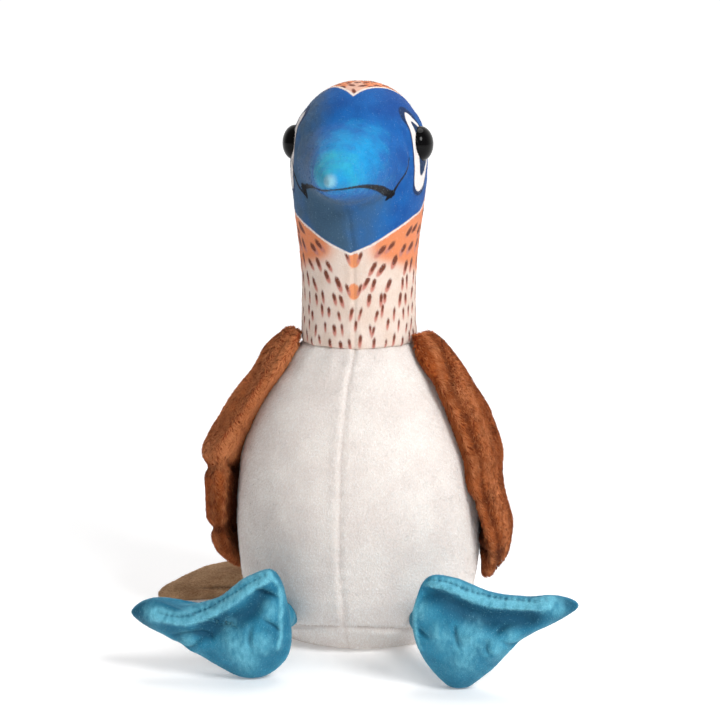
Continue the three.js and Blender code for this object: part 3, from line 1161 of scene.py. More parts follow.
        # Painted shade on the face's right side, away from the light, and under the beak.
        painted_face_shade = 0.75 * smoothstep(-4, -22, x) * (1 - 0.7 * glow)
        painted_face_shade = painted_face_shade + under_beak_shade * (0.55 + 0.38 * smoothstep(6, -6, x + 0.25 * (z - 205)))
        return {
            "warm": warm,
            "speck_fill": fill,
            "speck_rose": rose,
            "speck": np.minimum(dark, speck + 0.2),
            "rim": self.rim / 2 - np.abs(blue + self.rim / 2),
            "blue": blue,
            "deep": inked * np.clip(0.6 * smoothstep(10, 24, x) + 0.5 * smoothstep(252, 262, z) + cloud, 0, 1),
            "painted_face_shade": inked * np.clip(painted_face_shade + 0.5 * cloud * (painted_face_shade > 0.05), 0, 1),
            "glow": inked * np.clip(0.85 * glow + cloud * (glow > 0.05), 0, 1),
            "teal": inked * np.clip(0.6 * teal + cloud * (teal > 0.05), 0, 1),
            "tip": inked * 0.85 * tip,
            "halo": np.where(side, drop + halo, OUTSIDE),
            "eye_white": drop,
            "eye_navy": np.where(side, navy, OUTSIDE),
            "mouth": self.mouth(points, place),
        }


@dataclass
class HeadAndNeck:
    """The printed tube of the neck that widens into the blue head, with the soft beak grown out of its face."""

    stations: tuple[Station, ...] = (
        Station(140, 29, 29.5, 29.5),
        Station(168, 28.2, 28.5, 29),
        Station(192, 29.2, 29.5, 30),
        Station(212, 32, 32.5, 33),
        Station(230, 33.5, 34.5, 35.5),
        Station(248, 31.8, 33, 34.5),
        Station(261.5, 24, 25, 26.5),
        Station(269.3, 13.8, 14, 15),
        Station(272, 4, 4, 4),
    )
    inset: float = 0.8
    foot_z: float = 146.8
    seam_z: float = 147.0
    seam_depth: float = 0.4
    dent: float = 0.25
    dent_size: float = 16.0
    beak_root: tuple[float, float, float] = (0.0, -22.0, 236.5)
    beak_tip: tuple[float, float, float] = (-1.0, -88.0, 232.0)
    beak_side: float = 25.0
    beak_up: float = 20.0
    beak_down: float = 23.0
    beak_tip_radius: float = 2.6
    voxel: float = 1.25
    print: HeadPrint = HeadPrint()
    pile: Pile = Pile(
        length_mm=0.95, width_mm=0.3, count=195000, lean=0.8, root_shade=0.25, seed=23, scatter=0.35
    )

    def beak_grid(self) -> Array:
        """Rings of the beak from inside the face to its rounded tip."""
        t = np.linspace(0, 0.995, 60)[:, None]
        angle = turns(72)[None]
        size = np.sqrt(np.maximum(0, 1 - t**6)) * (1 - 0.9 * t**0.82)
        tip = (self.beak_tip_radius - 0.4) * np.sqrt(1 - t**8)
        up = np.where(np.sin(angle) > 0, self.beak_up, self.beak_down) * size + tip - self.inset * 0.5
        side = self.beak_side * size + tip - self.inset * 0.5
        start, end = np.array(self.beak_root), np.array(self.beak_tip) + [0, self.inset, 0]
        line = start + (end - start) * t[..., None]
        x = line[..., 0] + side * np.cos(angle)
        y = line[..., 1] + 0 * angle
        return np.stack([x, y, line[..., 2] + up * np.sin(angle)], -1)

    def build(self) -> list[Piece]:
        """The skin, in which tube and beak run into one another, and its pile."""
        tube = ring_skin("head_skin", upright_grid(self.stations, self.foot_z, 271.6, 110, 150, self.inset))
        beak = ring_skin("beak_form", self.beak_grid())
        apply_modifier(tube, "BOOLEAN", operation="UNION", object=beak, solver="EXACT")
        bpy.data.objects.remove(beak)
        apply_modifier(tube, "REMESH", mode="VOXEL", voxel_size=self.voxel * MM, use_smooth_shade=True)
        points = points_of(tube)
        seat = distance_to_line(points, np.array([self.beak_root, self.beak_tip]))[0]
        near = bell(points[:, 1] + 36, 9) * smoothstep(34, 26, seat)
        group = tube.vertex_groups.new(name="soften")
        for i, weight in enumerate(near):
            group.add([i], float(0.18 + 0.82 * weight), "REPLACE")
        apply_modifier(tube, "SMOOTH", factor=0.6, iterations=26, vertex_group="soften")
        apply_modifier(tube, "SUBSURF", levels=1, subdivision_type="CATMULL_CLARK")
        points, normals = points_of(tube), normals_of(tube)
        sag = self.dent * ripple(points, self.dent_size, 4.4) + 0.12 * ripple(points, 5, 6.1)
        neck = points[:, 2] - self.seam_z
        sag += 0.25 * np.sin(heading(points) * 15) * bell(neck - 3, 5)
        sag -= 0.25 * bell(neck, 1.1)
        seam = points[:, 0] - np.interp(points[:, 2], [147, 194, 210, 222], [1.9, 1.2, -0.3, -1.5])
        throat = smoothstep(0, -10, points[:, 1]) * smoothstep(224, 218, points[:, 2])
        sag -= self.seam_depth * bell(seam, 0.8) * throat
        sag += 0.2 * bell(np.abs(seam) - 2.4, 1.6) * throat
        move_points(tube, points + normals * sag[:, None])
        paint(tube, {**self.print.masks(points, normals), "depth": np.full(len(points), 0.5)})
        cloth = PRINTED_VELBOA.build()
        dress(tube, cloth)
        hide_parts("head", "neck", "beak")
        clear = lambda root: root[:, 2] > 147.6
        coat = self.pile.grow("head_pile", tube, self.print.masks, round_unwrap, clear)
        dress(coat, cloth)
        return [tube, coat]


@dataclass
class Eye:
    """One glossy safety eye set into the side of the head."""

    side: Side
    radius: float = 8.4
    bulge: float = 6.0
    turn: float = math.radians(80)
    centre_z: float = 241.2
    inset: float = 30.6

    def build(self) -> list[Piece]:
        """A domed button with a rolled rim."""
        s = self.side.value
        out = unit(np.array([s * math.sin(self.turn), -math.cos(self.turn), 0.05]))
        across = unit(np.cross([0, 0, 1.0], out))
        up = np.cross(out, across)
        t = np.linspace(0, 1, 40)[:, None]
        angle = turns(72)[None]
        lift = np.where(t < 0.12, -2.2 + 2.0 * t / 0.12, self.bulge * np.sin((t - 0.12) / 0.88 * math.pi / 2))
        wide = np.where(t < 0.12, 1.0, np.cos(np.maximum(t - 0.12, 0) / 0.88 * math.pi / 2 * 0.995))
        centre = out * self.inset + np.array([0, 0, self.centre_z])
        grid = centre + lift[..., None] * out + (self.radius * wide * np.cos(angle))[..., None] * across
        grid = grid + (self.radius * wide * np.sin(angle))[..., None] * up
        dome = ring_skin(f"eye_dome_{self.side.word}", grid)
        dress(dome, GlossyDome().build())
        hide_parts(f"eye_{self.side.word}")
        return [dome]


@dataclass(frozen=True)
class WingStation:
    """One named level of a wing, in millimetres."""

    z: float
    out: float
    thick: float
    fore: float
    aft: float


# The folds across each wing: how far one stands out, its height, slope and width, and where along y it
# starts and is full.
CROSS_FOLDS = {
    Side.RIGHT: (
        (-2.6, 81, 0.3, 3.4, 10, -14),
        (1.2, 90, 0.3, 5.0, 10, -14),
        (-2.6, 50, 0.3, 3.0, 16, -10),
    ),
    Side.LEFT: (
        (-1.1, 80, -0.3, 3.2, 4, -14),
        (-2.4, 47, -0.2, 2.6, 16, -10),
    ),
}


@dataclass
class Wing:
    """One flat stuffed wing, sewn in at the shoulder and hanging down the side."""

    side: Side
    stations: tuple[WingStation, ...] = (
        WingStation(151.5, 31.5, 3.5, -12, 6),
        WingStation(146, 36.5, 6, -18, 12),
        WingStation(131, 45, 7.6, -24, 22),
        WingStation(110, 58.5, 8.6, -27, 29),
        WingStation(88, 68.5, 8.8, -26, 35),
        WingStation(60, 68.8, 8.2, -21, 36),
        WingStation(42, 66.5, 6.8, -11, 30),
        WingStation(29, 62.5, 3, 6, 16),
    )
    tuck: float = 8.0
    tuck_z: float = 86.0
    tuck_reach: float = 27.0
    wrap: float = 0.0042
    wrap_y: float = 4.0
    corner: float = 5.0
    right_turn: float = 0.8
    left_turn: float = -3.4
    seam_away: float = 60.0
    seam_depth: float = 0.8
    seam_swell: float = 0.6
    pocket_depth: float = 4.2
    fold_rise: float = 0.9
    fold_size: float = 9.5
    edge_roll: float = 5.8
    stitch_mm: float = 3.0
    inset: float = 1.5
    pile: Pile = Pile(
        length_mm=2.6,
        width_mm=0.4,
        count=66000,
        lean=0.84,
        bent=True,
        root_shade=0.4,
        seed=31,
        scatter=0.3,
    )

    def grid(self) -> Array:
        """Rings from the shoulder down to the tip."""
        t = np.linspace(0.004, 0.996, 130)[:, None]
        angle = turns(150)[None]
        top, tip = self.stations[0].z, self.stations[-1].z
        z = top + (tip - top) * t
        names = ("out", "fore", "aft", "thick")
        out, fore, aft, thick = (read_stations(self.stations, name, z) for name in names)
        fore, aft, thick = fore + self.inset, aft - self.inset, thick - self.inset
        y = (fore + aft) / 2 + (aft - fore) / 2 * np.cos(angle)
        wrap = self.wrap * (y - self.wrap_y) ** 2
        # The shoulder's loose front corner lies down on the breast.
        wrap = wrap + self.corner * smoothstep(-2, -17, y) * smoothstep(126, 144, z)
        x = out - self.tucked(z) - wrap + thick * np.sin(angle)
        return np.stack([self.side.value * x, y, z + 0 * angle], -1)

    def tucked(self, z: Array) -> Array:
        """How far the wing is tucked in towards the body at each height; only the left one is."""
        return (self.side is Side.LEFT) * self.tuck * bell(z - self.tuck_z, self.tuck_reach)

    def unwrap(self, points: Array, normals: Array) -> Array:
        """A place on the outer or inner panel laid flat."""
        outer = normals[:, 0] * self.side.value > 0
        u = 0.02 + 0.46 * (points[:, 1] + 30) / 70 + np.where(outer, 0, 0.5)
        return np.stack([u, 0.02 + 0.96 * (points[:, 2] - 25) / 130], 1)

    def seam_offset(self, points: Array) -> Array:
        """Millimetres from the seam down the wing's front edge, positive on the outer panel."""
        x, y, z = points.T
        out, fore, aft = (read_stations(self.stations, name, z) for name in ("out", "fore", "aft"))
        # Each wing is turned a little, so the parting of the pile doesn't run down its very edge.
        turn = self.right_turn * smoothstep(60, 90, z) if self.side is Side.RIGHT else self.left_turn
        middle = out - self.tucked(z) - self.wrap * (y - self.wrap_y) ** 2 - turn
        return np.where(y > (fore + aft) / 2, self.seam_away, x * self.side.value - middle)

    def folds(self, points: Array) -> Array:
        """How far the cloth stands out in its long soft folds down the wing and the few across it."""
        fold = self.fold_rise * ripple(points * [1.0, 1.0, 0.33], self.fold_size, 7.7 + self.side.value)
        _, y, z = points.T
        for rise, height, slope, width, start, full in CROSS_FOLDS[self.side]:
            fold += rise * bell(z - height + slope * y, width) * smoothstep(start, full, y)
        return fold

    def comb(self, points: Array) -> Array:
        """The pile runs down the wing and, near the seam, in towards it from both sides, as a herringbone."""
        offset = self.seam_offset(points)
        pull = -np.sign(offset) * self.side.value * 1.1 * bell(offset, 5.0)
        way = np.tile(np.array([0.0, 0.15, -1.0]), (len(points), 1))
        way[:, 0] += pull
        return way

    def masks(self, points: Array, normals: Array) -> Masks:
        """Painted shade in the folds, the seam and the pocket, and painted highlight on the crests and the
        rolled edge.
        """
        fold = self.folds(points)
        seam = self.seam_offset(points)
        z = points[:, 2]
        broken = 0.5 + 0.5 * ripple(points * [1, 1, 0.6], 2.2, 3.9)
        # Painted shade in the folds' troughs and the seam, and painted highlight on the crests and where the
        # pile parts beside the seam.
        painted_shade = 0.5 * smoothstep(-0.4, -2.0, fold) + (0.3 + 0.4 * broken) * bell(seam, 1.1)
        painted_highlight = 0.4 * smoothstep(0.2, 1.3, fold) + (0.2 + 0.6 * broken) * bell(np.abs(seam) - 2.6, 1.4)
        if self.side is Side.RIGHT:
            # The right wing gets painted shade on the inner panel below its flare, and painted highlight on its
            # rolled front edge and its upper outer panel.
            painted_shade += 0.7 * smoothstep(-1.0, -4.0, seam) * smoothstep(88, 82, z)
            painted_highlight += 0.9 * bell(seam + self.edge_roll, 1.5) * smoothstep(84, 90, z)
            painted_highlight += 0.45 * smoothstep(-8, -4, seam) * smoothstep(80, 90, z)
        else:
            # The left wing gets painted shade in its pocket, and more painted shade all over, heaviest low down
            # and on the outer panel, so it reads darker than the right one; its rolled edge gets a painted
            # highlight.
            painted_shade += 0.8 * smoothstep(-3.0, -5.0, seam) * smoothstep(76, 72, z) * smoothstep(44, 48, z)
            painted_shade += 0.2 + 0.3 * smoothstep(47, 43, z) + 0.25 * smoothstep(1, 6, seam)
            painted_highlight += 0.5 * bell(seam + 7.0, 1.2) * smoothstep(70, 76, z) * smoothstep(118, 108, z)
        return {"painted_shade": np.clip(painted_shade, 0, 1), "painted_highlight": np.clip(painted_highlight, 0, 1)}

    def build(self) -> list[Piece]:
        """The stuffed panel with its front seam and folds, and its brushed pile."""
        skin = ring_skin(f"wing_skin_{self.side.word}", self.grid())
        stuff(skin, 4.0, 1.0, smoothstep(1.0, 9.0, np.abs(self.seam_offset(points_of(skin)))))
        points, normals = points_of(skin), normals_of(skin)
        offset, z = self.seam_offset(points), points[:, 2]
        seam = np.abs(offset)
        push = self.folds(points) * smoothstep(0.0, 4.0, seam)
        stitch = np.maximum(0, np.cos(z * 2 * math.pi / self.stitch_mm))
        dip = self.seam_depth * bell(seam, 1.0) * (1 - 0.35 * stitch)
        push += self.seam_swell * bell(seam - 2.4, 1.6) - dip
        if self.side is Side.RIGHT:
            push += 0.9 * bell(offset + self.edge_roll, 1.3) * smoothstep(84, 90, z)
        else:
            # The lower wing folds back on itself and leaves a pocket beside the body.
            behind = self.pocket_depth * smoothstep(-2.5, -6.0, offset)
            push -= behind * smoothstep(78, 70, z) * smoothstep(50, 57, z)
        move_points(skin, points + normals * push[:, None])
        paint(skin, {**self.masks(points, normals), "depth": np.full(len(points), 0.7)})
        cloth = BROWN_PLUSH.build()
        dress(skin, cloth)
        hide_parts(f"wing_{self.side.word}")
        coat = self.pile.grow(f"wing_pile_{self.side.word}", skin, self.masks, self.unwrap, flow=self.comb)
        dress(coat, cloth)
        return [skin, coat]


@dataclass(frozen=True)
class ToeFolds:
    """How the sole is quilted: a stitched seam under the toe edge, a roll, a deep tuck and soft lobes.

    Places are across and up the fan in millimetres from the heel.
    """

    seam: Places
    roll_low: Places
    tuck: Places
    creases: tuple[Places, ...]
    lobes: tuple[tuple[float, float, float, float], ...]
    rim: Places
    shade_from: float = 8.0
    seam_width: float = 0.8
    roll_rise: float = 1.3
    roll_width: float = 2.0
    tuck_depth: float = 4.6
    tuck_width: float = 5.2
    rim_width: float = 1.5
    crease_depth: float = 1.5
    crease_width: float = 1.1
    toe_tip: tuple[float, float] = (42.0, 50.0)
    stitch_mm: float = 2.6

    def push(self, place: Array) -> tuple[Array, Array, Array]:
        """How the sole stands out or dips.

        Args:
            place: across and up the fan.

        Returns:
            The push in millimetres, and how much painted shade and how much painted highlight each place gets,
            from 0 to 1.
        """
        seam_line = flat_curve(self.seam, 40)
        seam, along = distance_to_line(place, seam_line)
        tuck, _ = distance_to_line(place, flat_curve(self.tuck, 30))
        length = np.linalg.norm(np.diff(np.array(self.seam), axis=0), axis=1).sum()
        stitch = np.maximum(0, np.cos(along * length * 2 * math.pi / self.stitch_mm))
        push = -1.0 * bell(seam, self.seam_width) * (1 - 0.5 * stitch)
        roll, _ = distance_to_line(place, 0.5 * (seam_line + flat_curve(self.roll_low, 40)))
        push += self.roll_rise * bell(roll, self.roll_width)
        push -= self.tuck_depth * bell(tuck, self.tuck_width)
        # Painted shade in the tuck, in the seam between stitches, under the roll and towards the outer toe tip;
        # painted highlight on the roll, above the seam and on the stitches.
        painted_shade = 0.95 * bell(tuck, 5.0) + 0.55 * bell(seam, 0.5) * (1 - stitch)
        painted_shade += 0.5 * smoothstep(0.0, 2.5, place[:, 0] - self.shade_from) * bell(roll - 5.0, 4.5)
        crest = 0.9 * bell(roll, 1.9) + 0.7 * bell(seam - 2.0, 1.5) + 0.4 * stitch * bell(seam - 0.5, 0.9)
        painted_shade += 0.7 * smoothstep(*self.toe_tip, place[:, 0])
        # The raised rim gets a painted highlight and loses its painted shade.
        rim, _ = distance_to_line(place, flat_curve(self.rim, 30))
        push += 1.0 * bell(rim, self.rim_width)
        crest += 0.8 * bell(rim, 1.1)
        painted_shade *= smoothstep(0.6, 3.0, rim)
        # Each lobe gets a painted highlight and loses most of its painted shade.
        for a, b, wide, rise in self.lobes:
            across, up = place[:, 0] - a, place[:, 1] - b
            away = np.hypot(across, up)
            push += rise * bell(away, wide)
            crest += 0.66 * bell(np.hypot(across, (up - wide * 0.2) * 0.8), wide * 0.95)
            painted_shade *= 1 - 0.8 * bell(away, wide * 0.8)
        # Painted shade runs down each crease.
        for crease in self.creases:
            away, run = distance_to_line(place, flat_curve(crease, 16))
            deep = np.sin(math.pi * (0.12 + 0.76 * run))
            push -= self.crease_depth * bell(away, self.crease_width) * deep
            push += 0.5 * bell(away - 2.4, 1.5) * deep
            painted_shade += 0.55 * bell(away, 0.9) * deep
        return push, np.clip(painted_shade, 0, 1), np.clip(crest, 0, 1)


@dataclass
class Foot:
    """One webbed fan foot, stood on its heel with the sole to the front, and the short leg behind it."""

    side: Side
    heel: tuple[float, float]
    hip: float
    outline: dict[str, tuple[float, float]]
    folds: ToeFolds
    thick: float = 10.5
    lean: float = 10.0
    lean_over: float = 56.0
    inset: float = 1.6
    rim_inset: float = 0.7
    swell: float = 0.25
    lowest: float = 0.8
    sides: int = 220
    rings: int = 120
    heart: tuple[float, float] = (3.0, 28.0)
    leg_radius: float = 6.8
    hip_y: float = -38.0
    hip_z: float = 19.0
    ankle_y: float = -73.0
    ankle_z: float = 25.0
    pile: Pile = Pile(
        length_mm=0.9, width_mm=0.32, count=100000, lean=0.82, root_shade=0.3, seed=41, scatter=0.35
    )

    def flat_places(self, points: Array) -> Array:
        """Each point's place across and up the fan, in millimetres from the heel."""
        return np.stack([self.side.value * points[:, 0] - self.heel[0], points[:, 2]], 1)

    def grid(self) -> Array:
        """Rings from the heart of the back face, out to the seam, and in to the heart of the sole."""
        sides, rings = self.sides, self.rings
        fan = flat_curve(self.outline.values(), sides, True)
        heart = np.array(self.heart)
        way = unit(fan - heart)
        turn = math.pi * (np.linspace(0.004, 0.996, rings) - 0.5)
        reach = np.maximum(0.02, np.cos(turn) ** 0.8)[:, None, None]
        flat = heart + (fan - heart)[None] * reach - way[None] * self.rim_inset * reach
        thick = (self.thick - self.inset) * np.sin(turn)[:, None]
        lean = self.lean * flat[..., 1] / self.lean_over
        x = self.side.value * (self.heel[0] + flat[..., 0])
        return np.stack([x, self.heel[1] - lean - thick, flat[..., 1]], -1)

    def unwrap(self, points: Array, normals: Array) -> Array:
        """A place on the sole or the back of the foot laid flat."""
        place = self.flat_places(points)
        u = 0.02 + 0.46 * (place[:, 0] + 25) / 90 + np.where(normals[:, 1] < 0, 0, 0.5)
        return np.stack([u, 0.02 + 0.96 * np.clip(place[:, 1] / 62, 0, 1)], 1)

    def sole(self, points: Array) -> Array:
        """1 on the sole, 0 on the back of the foot."""
        middle = self.heel[1] - self.lean * points[:, 2] / self.lean_over
        return smoothstep(0.5, -2.5, points[:, 1] - middle)

    def masks(self, points: Array, normals: Array) -> Masks:
        """Painted shade in the tucks and creases, and painted highlight and sheen on the crests of the sole."""
        _, painted_shade, crest = self.folds.push(self.flat_places(points))
        front = self.sole(points)
        # Painted sheen in random patches of the nap, and in streaks across the painted highlight.
        nap = 0.12 * smoothstep(0.1, 0.9, ripple(points, 6.0, 5.5))
        streak = 0.8 + 0.35 * ripple(points * [1.6, 1.0, 0.7], 2.4, 8.5)
        return {"painted_shade": painted_shade * front, "painted_highlight": np.clip(crest * front * streak + nap, 0, 1)}

    def build(self) -> list[Piece]:
        """The pillow with its rolled toe edge and lobes, its velboa pile, and the leg."""
        skin = ring_skin(f"foot_skin_{self.side.word}", self.grid())
        rise = np.append(np.repeat(np.abs(np.linspace(-1, 1, self.rings)), self.sides), [1, 1])
        stuff(skin, 4.0, 0.9, smoothstep(0.05, 0.6, rise))
        points, normals = points_of(skin), normals_of(skin)
        push, _, _ = self.folds.push(self.flat_places(points))
        # The quilting is pressed straight into the sole; the rest of the skin swells along its own normals.
        out = unit(normals * 0.35 + np.array([0.0, -1.0, 0.0]))
        swell = self.swell * ripple(points, 9, 9.2 + self.side.value)
        points = points + normals * swell[:, None] + out * (push * self.sole(points))[:, None]
        points[:, 2] = np.maximum(points[:, 2], self.lowest)
        move_points(skin, points)
        paint(skin, {**self.masks(points, normals), "depth": np.full(len(points), 0.5)})
        cloth = TEAL_VELBOA.build()
        dress(skin, cloth)
        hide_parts(f"foot_{self.side.word}")
        clear = lambda root: root[:, 2] > 1.4
        coat = self.pile.grow(f"foot_pile_{self.side.word}", skin, self.masks, self.unwrap, clear)
        dress(coat, cloth)
        return [skin, coat, *self.leg(cloth)]

    def leg(self, cloth: Material) -> list[Piece]:
        """The short stuffed tube from the base seam to the back of the foot."""
        s = self.side.value
        hip = np.array([s * self.hip, self.hip_y, self.hip_z])
        ankle = np.array([s * (self.heel[0] - 4), self.ankle_y, self.ankle_z])
        along = unit(ankle - hip)
        across = unit(np.cross([0, 0, 1.0], along))
        up = np.cross(along, across)
        t = np.linspace(0, 1, 40)[:, None, None]
        angle = turns(64)[None, :, None]
        radius = self.leg_radius * (1 + 0.03 * np.sin(9 * t * math.pi))
        grid = hip + (ankle - hip) * t + radius * (np.cos(angle) * across + np.sin(angle) * up)
        tube = ring_skin(f"leg_skin_{self.side.word}", grid)
        paint(tube, {"depth": np.full(len(tube.data.vertices), 0.4)})
        dress(tube, cloth)
        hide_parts(f"leg_{self.side.word}")
        return [tube]


@dataclass
class Tail:
    """The flat wedge of the tail, bent round to the toy's right and lying on the floor."""

    line: tuple[tuple[float, float, float], ...] = (
        (-8, 34, 11),
        (-44, 54, 11),
        (-79, 46, 9.5),
        (-109, 30, 4.5),
    )
    half_wide: float = 26.0
    half_thick: float = 10.5
    inset: float = 1.2
    start: float = 0.1
    seam_z: float = 10.0
    seam_depth: float = 0.9
    fold_rise: float = 0.5
    lowest: float = 0.9
    pile: Pile = Pile(
        length_mm=1.6,
        width_mm=0.4,
        count=70000,
        lean=0.78,
        lie=(-1.0, 0.0, -0.2),
        root_shade=0.35,
        seed=51,
    )

    def grid(self) -> Array:
        """Rings from under the torso out to the tip."""
        line = curve_points(self.line, False, 400)
        t = np.linspace(self.start, 0.998, 130)
        spine = np.stack([np.interp(t, np.linspace(0, 1, 400), line[:, k]) for k in range(3)], 1)
        along = unit(np.gradient(spine, axis=0))
        across = unit(np.stack([along[:, 1], -along[:, 0], 0 * t], 1))[:, None]
        tip = np.sqrt(np.maximum(0.0005, 1 - t**4))
        wide = ((self.half_wide * (1 - 0.35 * t)) * tip - self.inset * tip)[:, None, None]
        thick = ((self.half_thick * (1 - 0.2 * t)) * tip - self.inset * tip)[:, None]
        angle = turns(120)[None]
        grid = spine[:, None] + across * wide * np.cos(angle)[..., None]
        grid[..., 2] += thick * np.sin(angle)
        grid[..., 2] = np.maximum(grid[..., 2], self.lowest)
        return grid

    def unwrap(self, points: Array, normals: Array) -> Array:
        """A place on the top or the underside laid flat."""
        u = 0.02 + 0.46 * (points[:, 0] + 115) / 110 + np.where(normals[:, 2] > 0, 0, 0.5)
        return np.stack([u, 0.02 + 0.96 * points[:, 1] / 90], 1)

    def masks(self, points: Array, normals: Array) -> Masks:
        """Painted shade along the edge seam and painted highlight on the crests of the soft folds."""
        seam = self.edge_seam(points, normals, 1.2)
        return {"painted_shade": np.clip(0.8 * seam, 0, 1), "painted_highlight": 0.6 * smoothstep(0.1, 1.0, self.folds(points))}

    def folds(self, points: Array) -> Array:
        """The soft folds, from -1 to 1."""
        return ripple(points * [0.5, 1.0, 1.0], 9.0, 6.3)

    def edge_seam(self, points: Array, normals: Array, width: float) -> Array:
        """How near a place is to the seam round the edge, from 0 to 1."""
        return bell(points[:, 2] - self.seam_z, width) * smoothstep(0.7, 0.2, np.abs(normals[:, 2]))

    def build(self) -> list[Piece]:
        """The stuffed wedge and its pile."""
        skin = ring_skin("tail_skin", self.grid())
        stuff(skin, 3.0, 0.8, np.ones(len(skin.data.vertices)))
        points, normals = points_of(skin), normals_of(skin)
        push = self.fold_rise * self.folds(points) - self.seam_depth * self.edge_seam(points, normals, 1.1)
        points = points + normals * push[:, None]
        points[:, 2] = np.maximum(points[:, 2], self.lowest)
        move_points(skin, points)
        paint(skin, {**self.masks(points, normals), "depth": np.full(len(points), 0.6)})
        cloth = TAN_PLUSH.build()
        dress(skin, cloth)
        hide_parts("tail")
        clear = lambda root: root[:, 2] > 1.6
        coat = self.pile.grow("tail_pile", skin, self.masks, self.unwrap, clear)
        dress(coat, cloth)
        return [skin, coat]


RIGHT_FAN = {
    "inner_side": (-19.5, 33.0),
    "inner_low": (-17.0, 10.0),
    "heel": (0.0, -1.5),
    "outer_low": (18.0, 6.0),
    "outer_side": (32.0, 14.5),
    "outer_tip": (56.5, 31.0),
    "toe_hook": (46.0, 38.5),
    "toe_low": (31.0, 36.0),
    "toe_dip": (15.0, 40.5),
    "toe_rise": (0.0, 52.0),
    "inner_top": (-12.0, 55.5),
}
LEFT_FAN = {
    "inner_side": (-20.8, 34.0),
    "inner_low": (-15.5, 13.0),
    "heel": (0.0, -1.5),
    "outer_low": (14.5, 7.5),
    "outer_side": (30.0, 25.5),
    "outer_tip": (55.5, 44.0),
    "toe_hook": (47.0, 48.5),
    "toe_low": (32.0, 47.5),
    "toe_dip": (15.0, 49.5),
    "toe_rise": (-1.0, 55.5),
    "inner_top": (-13.0, 55.5),
}


RIGHT_FOLDS = ToeFolds(
    seam=(
        *((41.5, 33.0), (32.9, 31.8), (26.3, 32.9), (19.0, 35.6)),
        *((11.8, 39.9), (5.8, 44.1), (-0.2, 48.6), (-8.5, 53.2)),
    ),
    roll_low=(
        *((41.0, 29.0), (31.7, 28.2), (23.9, 28.8), (16.7, 30.6)),
        *((10.1, 34.3), (4.7, 38.2), (-0.1, 42.0), (-9.1, 49.6)),
    ),
    tuck=((18.3, 25.4), (10.4, 29.0), (5.1, 31.6), (-0.1, 34.4), (-4.3, 38.8), (-7.0, 43.6)),
    creases=(
        ((-2.1, 28.5), (-1.2, 24.0), (-1.4, 19.0)),
        ((35.1, 22.0), (28.2, 24.2), (21.9, 24.2), (17.2, 22.2)),
        ((34.7, 17.2), (28.4, 15.8), (24.1, 18.7), (20.9, 22.1)),
        ((-4.9, 46.4), (-10.1, 44.7), (-14.6, 42.8)),
        ((-7.9, 32.4), (-11.5, 29.9), (-14.8, 26.6)),
    ),
    lobes=(
        (6.5, 20.0, 7.5, 2.4),
        (-7.4, 20.0, 5.5, 1.9),
        (28.3, 20.0, 4.5, 1.6),
        (-10.5, 36.0, 4.5, 1.2),
        (45.0, 31.5, 5.0, 1.0),
        (1.0, 9.5, 7.0, 0.9),
    ),
    rim=((-10.7, 54.0), (-15.0, 48.1), (-16.0, 39.1), (-15.6, 30.6), (-15.4, 24.2), (-14.0, 17.7)),
)
LEFT_FOLDS = ToeFolds(
    seam=(
        *((-13.9, 53.6), (-7.7, 54.2), (0.2, 52.3), (5.9, 49.8), (13.2, 47.8)),
        *((21.0, 46.4), (28.8, 46.0), (36.5, 45.8), (41.5, 47.4)),
    ),
    roll_low=(
        *((-14.2, 51.3), (-7.9, 50.3), (-0.2, 47.7), (6.8, 45.1)),
        *((16.4, 42.5), (25.9, 42.3), (35.4, 42.7), (41.5, 43.8)),
    ),
    tuck=((-12.9, 48.2), (-7.6, 47.0), (-1.3, 44.4), (6.0, 40.0), (13.3, 37.6), (21.1, 37.4), (32.0, 38.2)),
    creases=(
        ((-0.2, 33.6), (0.4, 28.9), (1.6, 24.5)),
        ((18.1, 29.7), (20.6, 32.5), (24.8, 34.3)),
        ((21.0, 27.4), (26.0, 24.7), (31.1, 26.6)),
        ((-17.6, 31.3), (-14.3, 28.6), (-12.2, 27.8)),
        ((14.6, 27.0), (14.2, 23.6), (15.8, 20.4)),
    ),
    lobes=(
        (-7.5, 29.5, 5.2, 2.0),
        (8.5, 29.6, 6.0, 2.2),
        (18.7, 22.4, 4.8, 1.7),
        (26.2, 29.0, 4.0, 1.4),
        (3.1, 16.6, 8.5, 1.4),
        (-15.5, 39.0, 4.0, 1.0),
        (46.0, 43.5, 5.0, 0.8),
    ),
    rim=((-15.4, 51.0), (-18.4, 44.0), (-18.8, 36.5), (-18.0, 28.0), (-16.4, 21.0)),
    shade_from=2.0,
    tuck_depth=4.8,
)


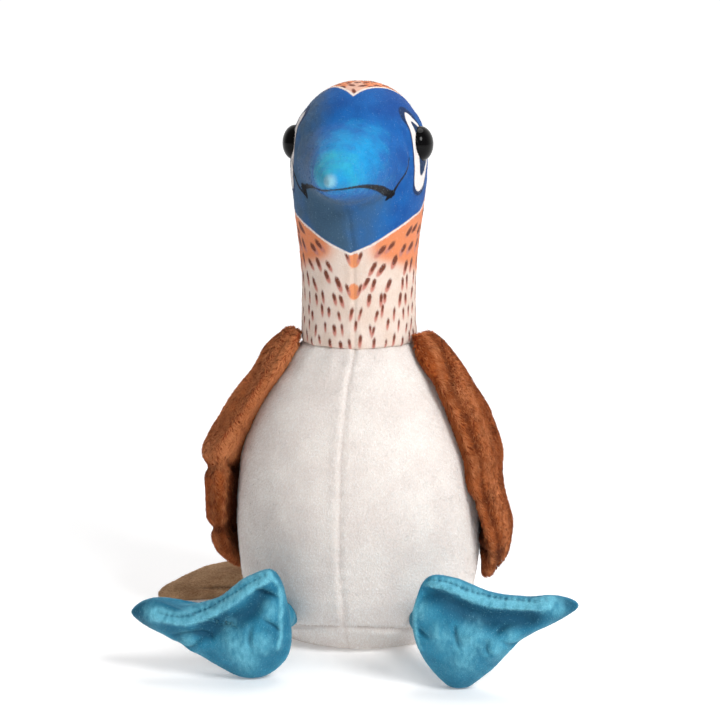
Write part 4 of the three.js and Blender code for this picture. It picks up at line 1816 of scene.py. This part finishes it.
@dataclass
class Studio:
    """The pale floor, the soft lights and the camera at the photograph's viewing angle."""

    azimuth: float = math.radians(8)
    elevation: float = math.radians(11)
    distance_mm: float = 1100.0
    aim_mm: tuple[float, float, float] = (0.0, 0.0, 130.0)
    lamp_aim_mm: tuple[float, float, float] = (0.0, 0.0, 120.0)
    lens_mm: float = 112.94
    sensor_mm: float = 36.0
    shift_x: float = 0.0014
    shift_y: float = 0.0191
    floor_reach: float = 4000.0
    room: float = 0.22
    backdrop: float = 1.05

    def build(self) -> list[Piece]:
        """Builds the floor, lights and camera."""
        corners = np.array([[-1, -1, 0], [1, -1, 0], [1, 1, 0], [-1, 1, 0]]) * self.floor_reach
        floor = new_object("floor", corners, [[0, 1, 2, 3]], False)
        floor.data.materials.append(StudioBoard().build())
        self.lamp("key_softbox", (900, -900, 1100), 600, 18.0)
        self.lamp("front_softbox", (-100, -1350, 700), 360, 1.2)
        self.lamp("top_softbox", (200, 250, 1300), 900, 7.0)
        world = bpy.data.worlds.new("white_room")
        world.use_nodes = True
        # The white backdrop stands behind the toy, and the room in front of it is dimmer.
        tree = world.node_tree
        way = add_node(tree, "ShaderNodeTexCoord").outputs["Generated"]
        ahead = add_node(tree, "ShaderNodeSeparateXYZ", {"Vector": way}).outputs["Y"]
        power = eased(tree, ahead, 0.0, 0.75, self.room, self.backdrop)
        tree.nodes["Background"].inputs["Color"].default_value = (1, 1, 1, 1)
        tree.links.new(power, tree.nodes["Background"].inputs["Strength"])
        bpy.context.scene.world = world
        bpy.context.scene.view_settings.view_transform = "Standard"
        return [floor, self.camera()]

    def lamp(
        self, name: str, place: tuple[float, float, float], size: float, power: float
    ) -> Piece:
        """A round softbox aimed at the toy.

        Args:
            name: the light's name.
            place: where it hangs, in millimetres.
            size: its width in millimetres.
            power: its power in watts.

        Returns:
            The light.
        """
        data = bpy.data.lights.new(name, "AREA")
        data.shape = "DISK"
        data.size = size * MM
        data.energy = power
        made = placed(name, data)
        made.location = Vector(place) * MM
        made.rotation_euler = (Vector(self.lamp_aim_mm) - Vector(place)).to_track_quat("-Z", "Y").to_euler()
        return made

    def camera(self) -> Piece:
        """The camera, with depth of field off."""
        data = bpy.data.cameras.new("camera")
        data.lens, data.sensor_width = self.lens_mm, self.sensor_mm
        data.shift_x, data.shift_y = self.shift_x, self.shift_y
        data.clip_end = 20
        made = placed("camera", data)
        a, e = self.azimuth, self.elevation
        back = Vector((math.sin(a) * math.cos(e), -math.cos(a) * math.cos(e), math.sin(e)))
        made.location = (Vector(self.aim_mm) + back * self.distance_mm) * MM
        made.rotation_euler = (-back).to_track_quat("-Z", "Y").to_euler()
        bpy.context.scene.camera = made
        return made


def main() -> None:
    """Builds each part of the toy in order."""
    logging.basicConfig(level=logging.INFO, format="%(name)s: %(message)s")
    builders = [
        Torso(),
        HeadAndNeck(),
        Eye(Side.RIGHT),
        Eye(Side.LEFT),
        Wing(Side.RIGHT),
        Wing(Side.LEFT),
        Foot(Side.RIGHT, (39, -79), 30, RIGHT_FAN, RIGHT_FOLDS),
        Foot(Side.LEFT, (57, -80), 36, LEFT_FAN, LEFT_FOLDS),
        Tail(),
        Studio(),
    ]
    for builder in builders:
        for piece in builder.build():
            size = [round(v / MM, 1) for v in piece.dimensions]
            faces = len(piece.data.polygons) if piece.type == "MESH" else 0
            log.info("%s: %s mm, %d faces", piece.name, size, faces)
    bpy.context.view_layer.update()


if __name__ == "__main__":
    main()
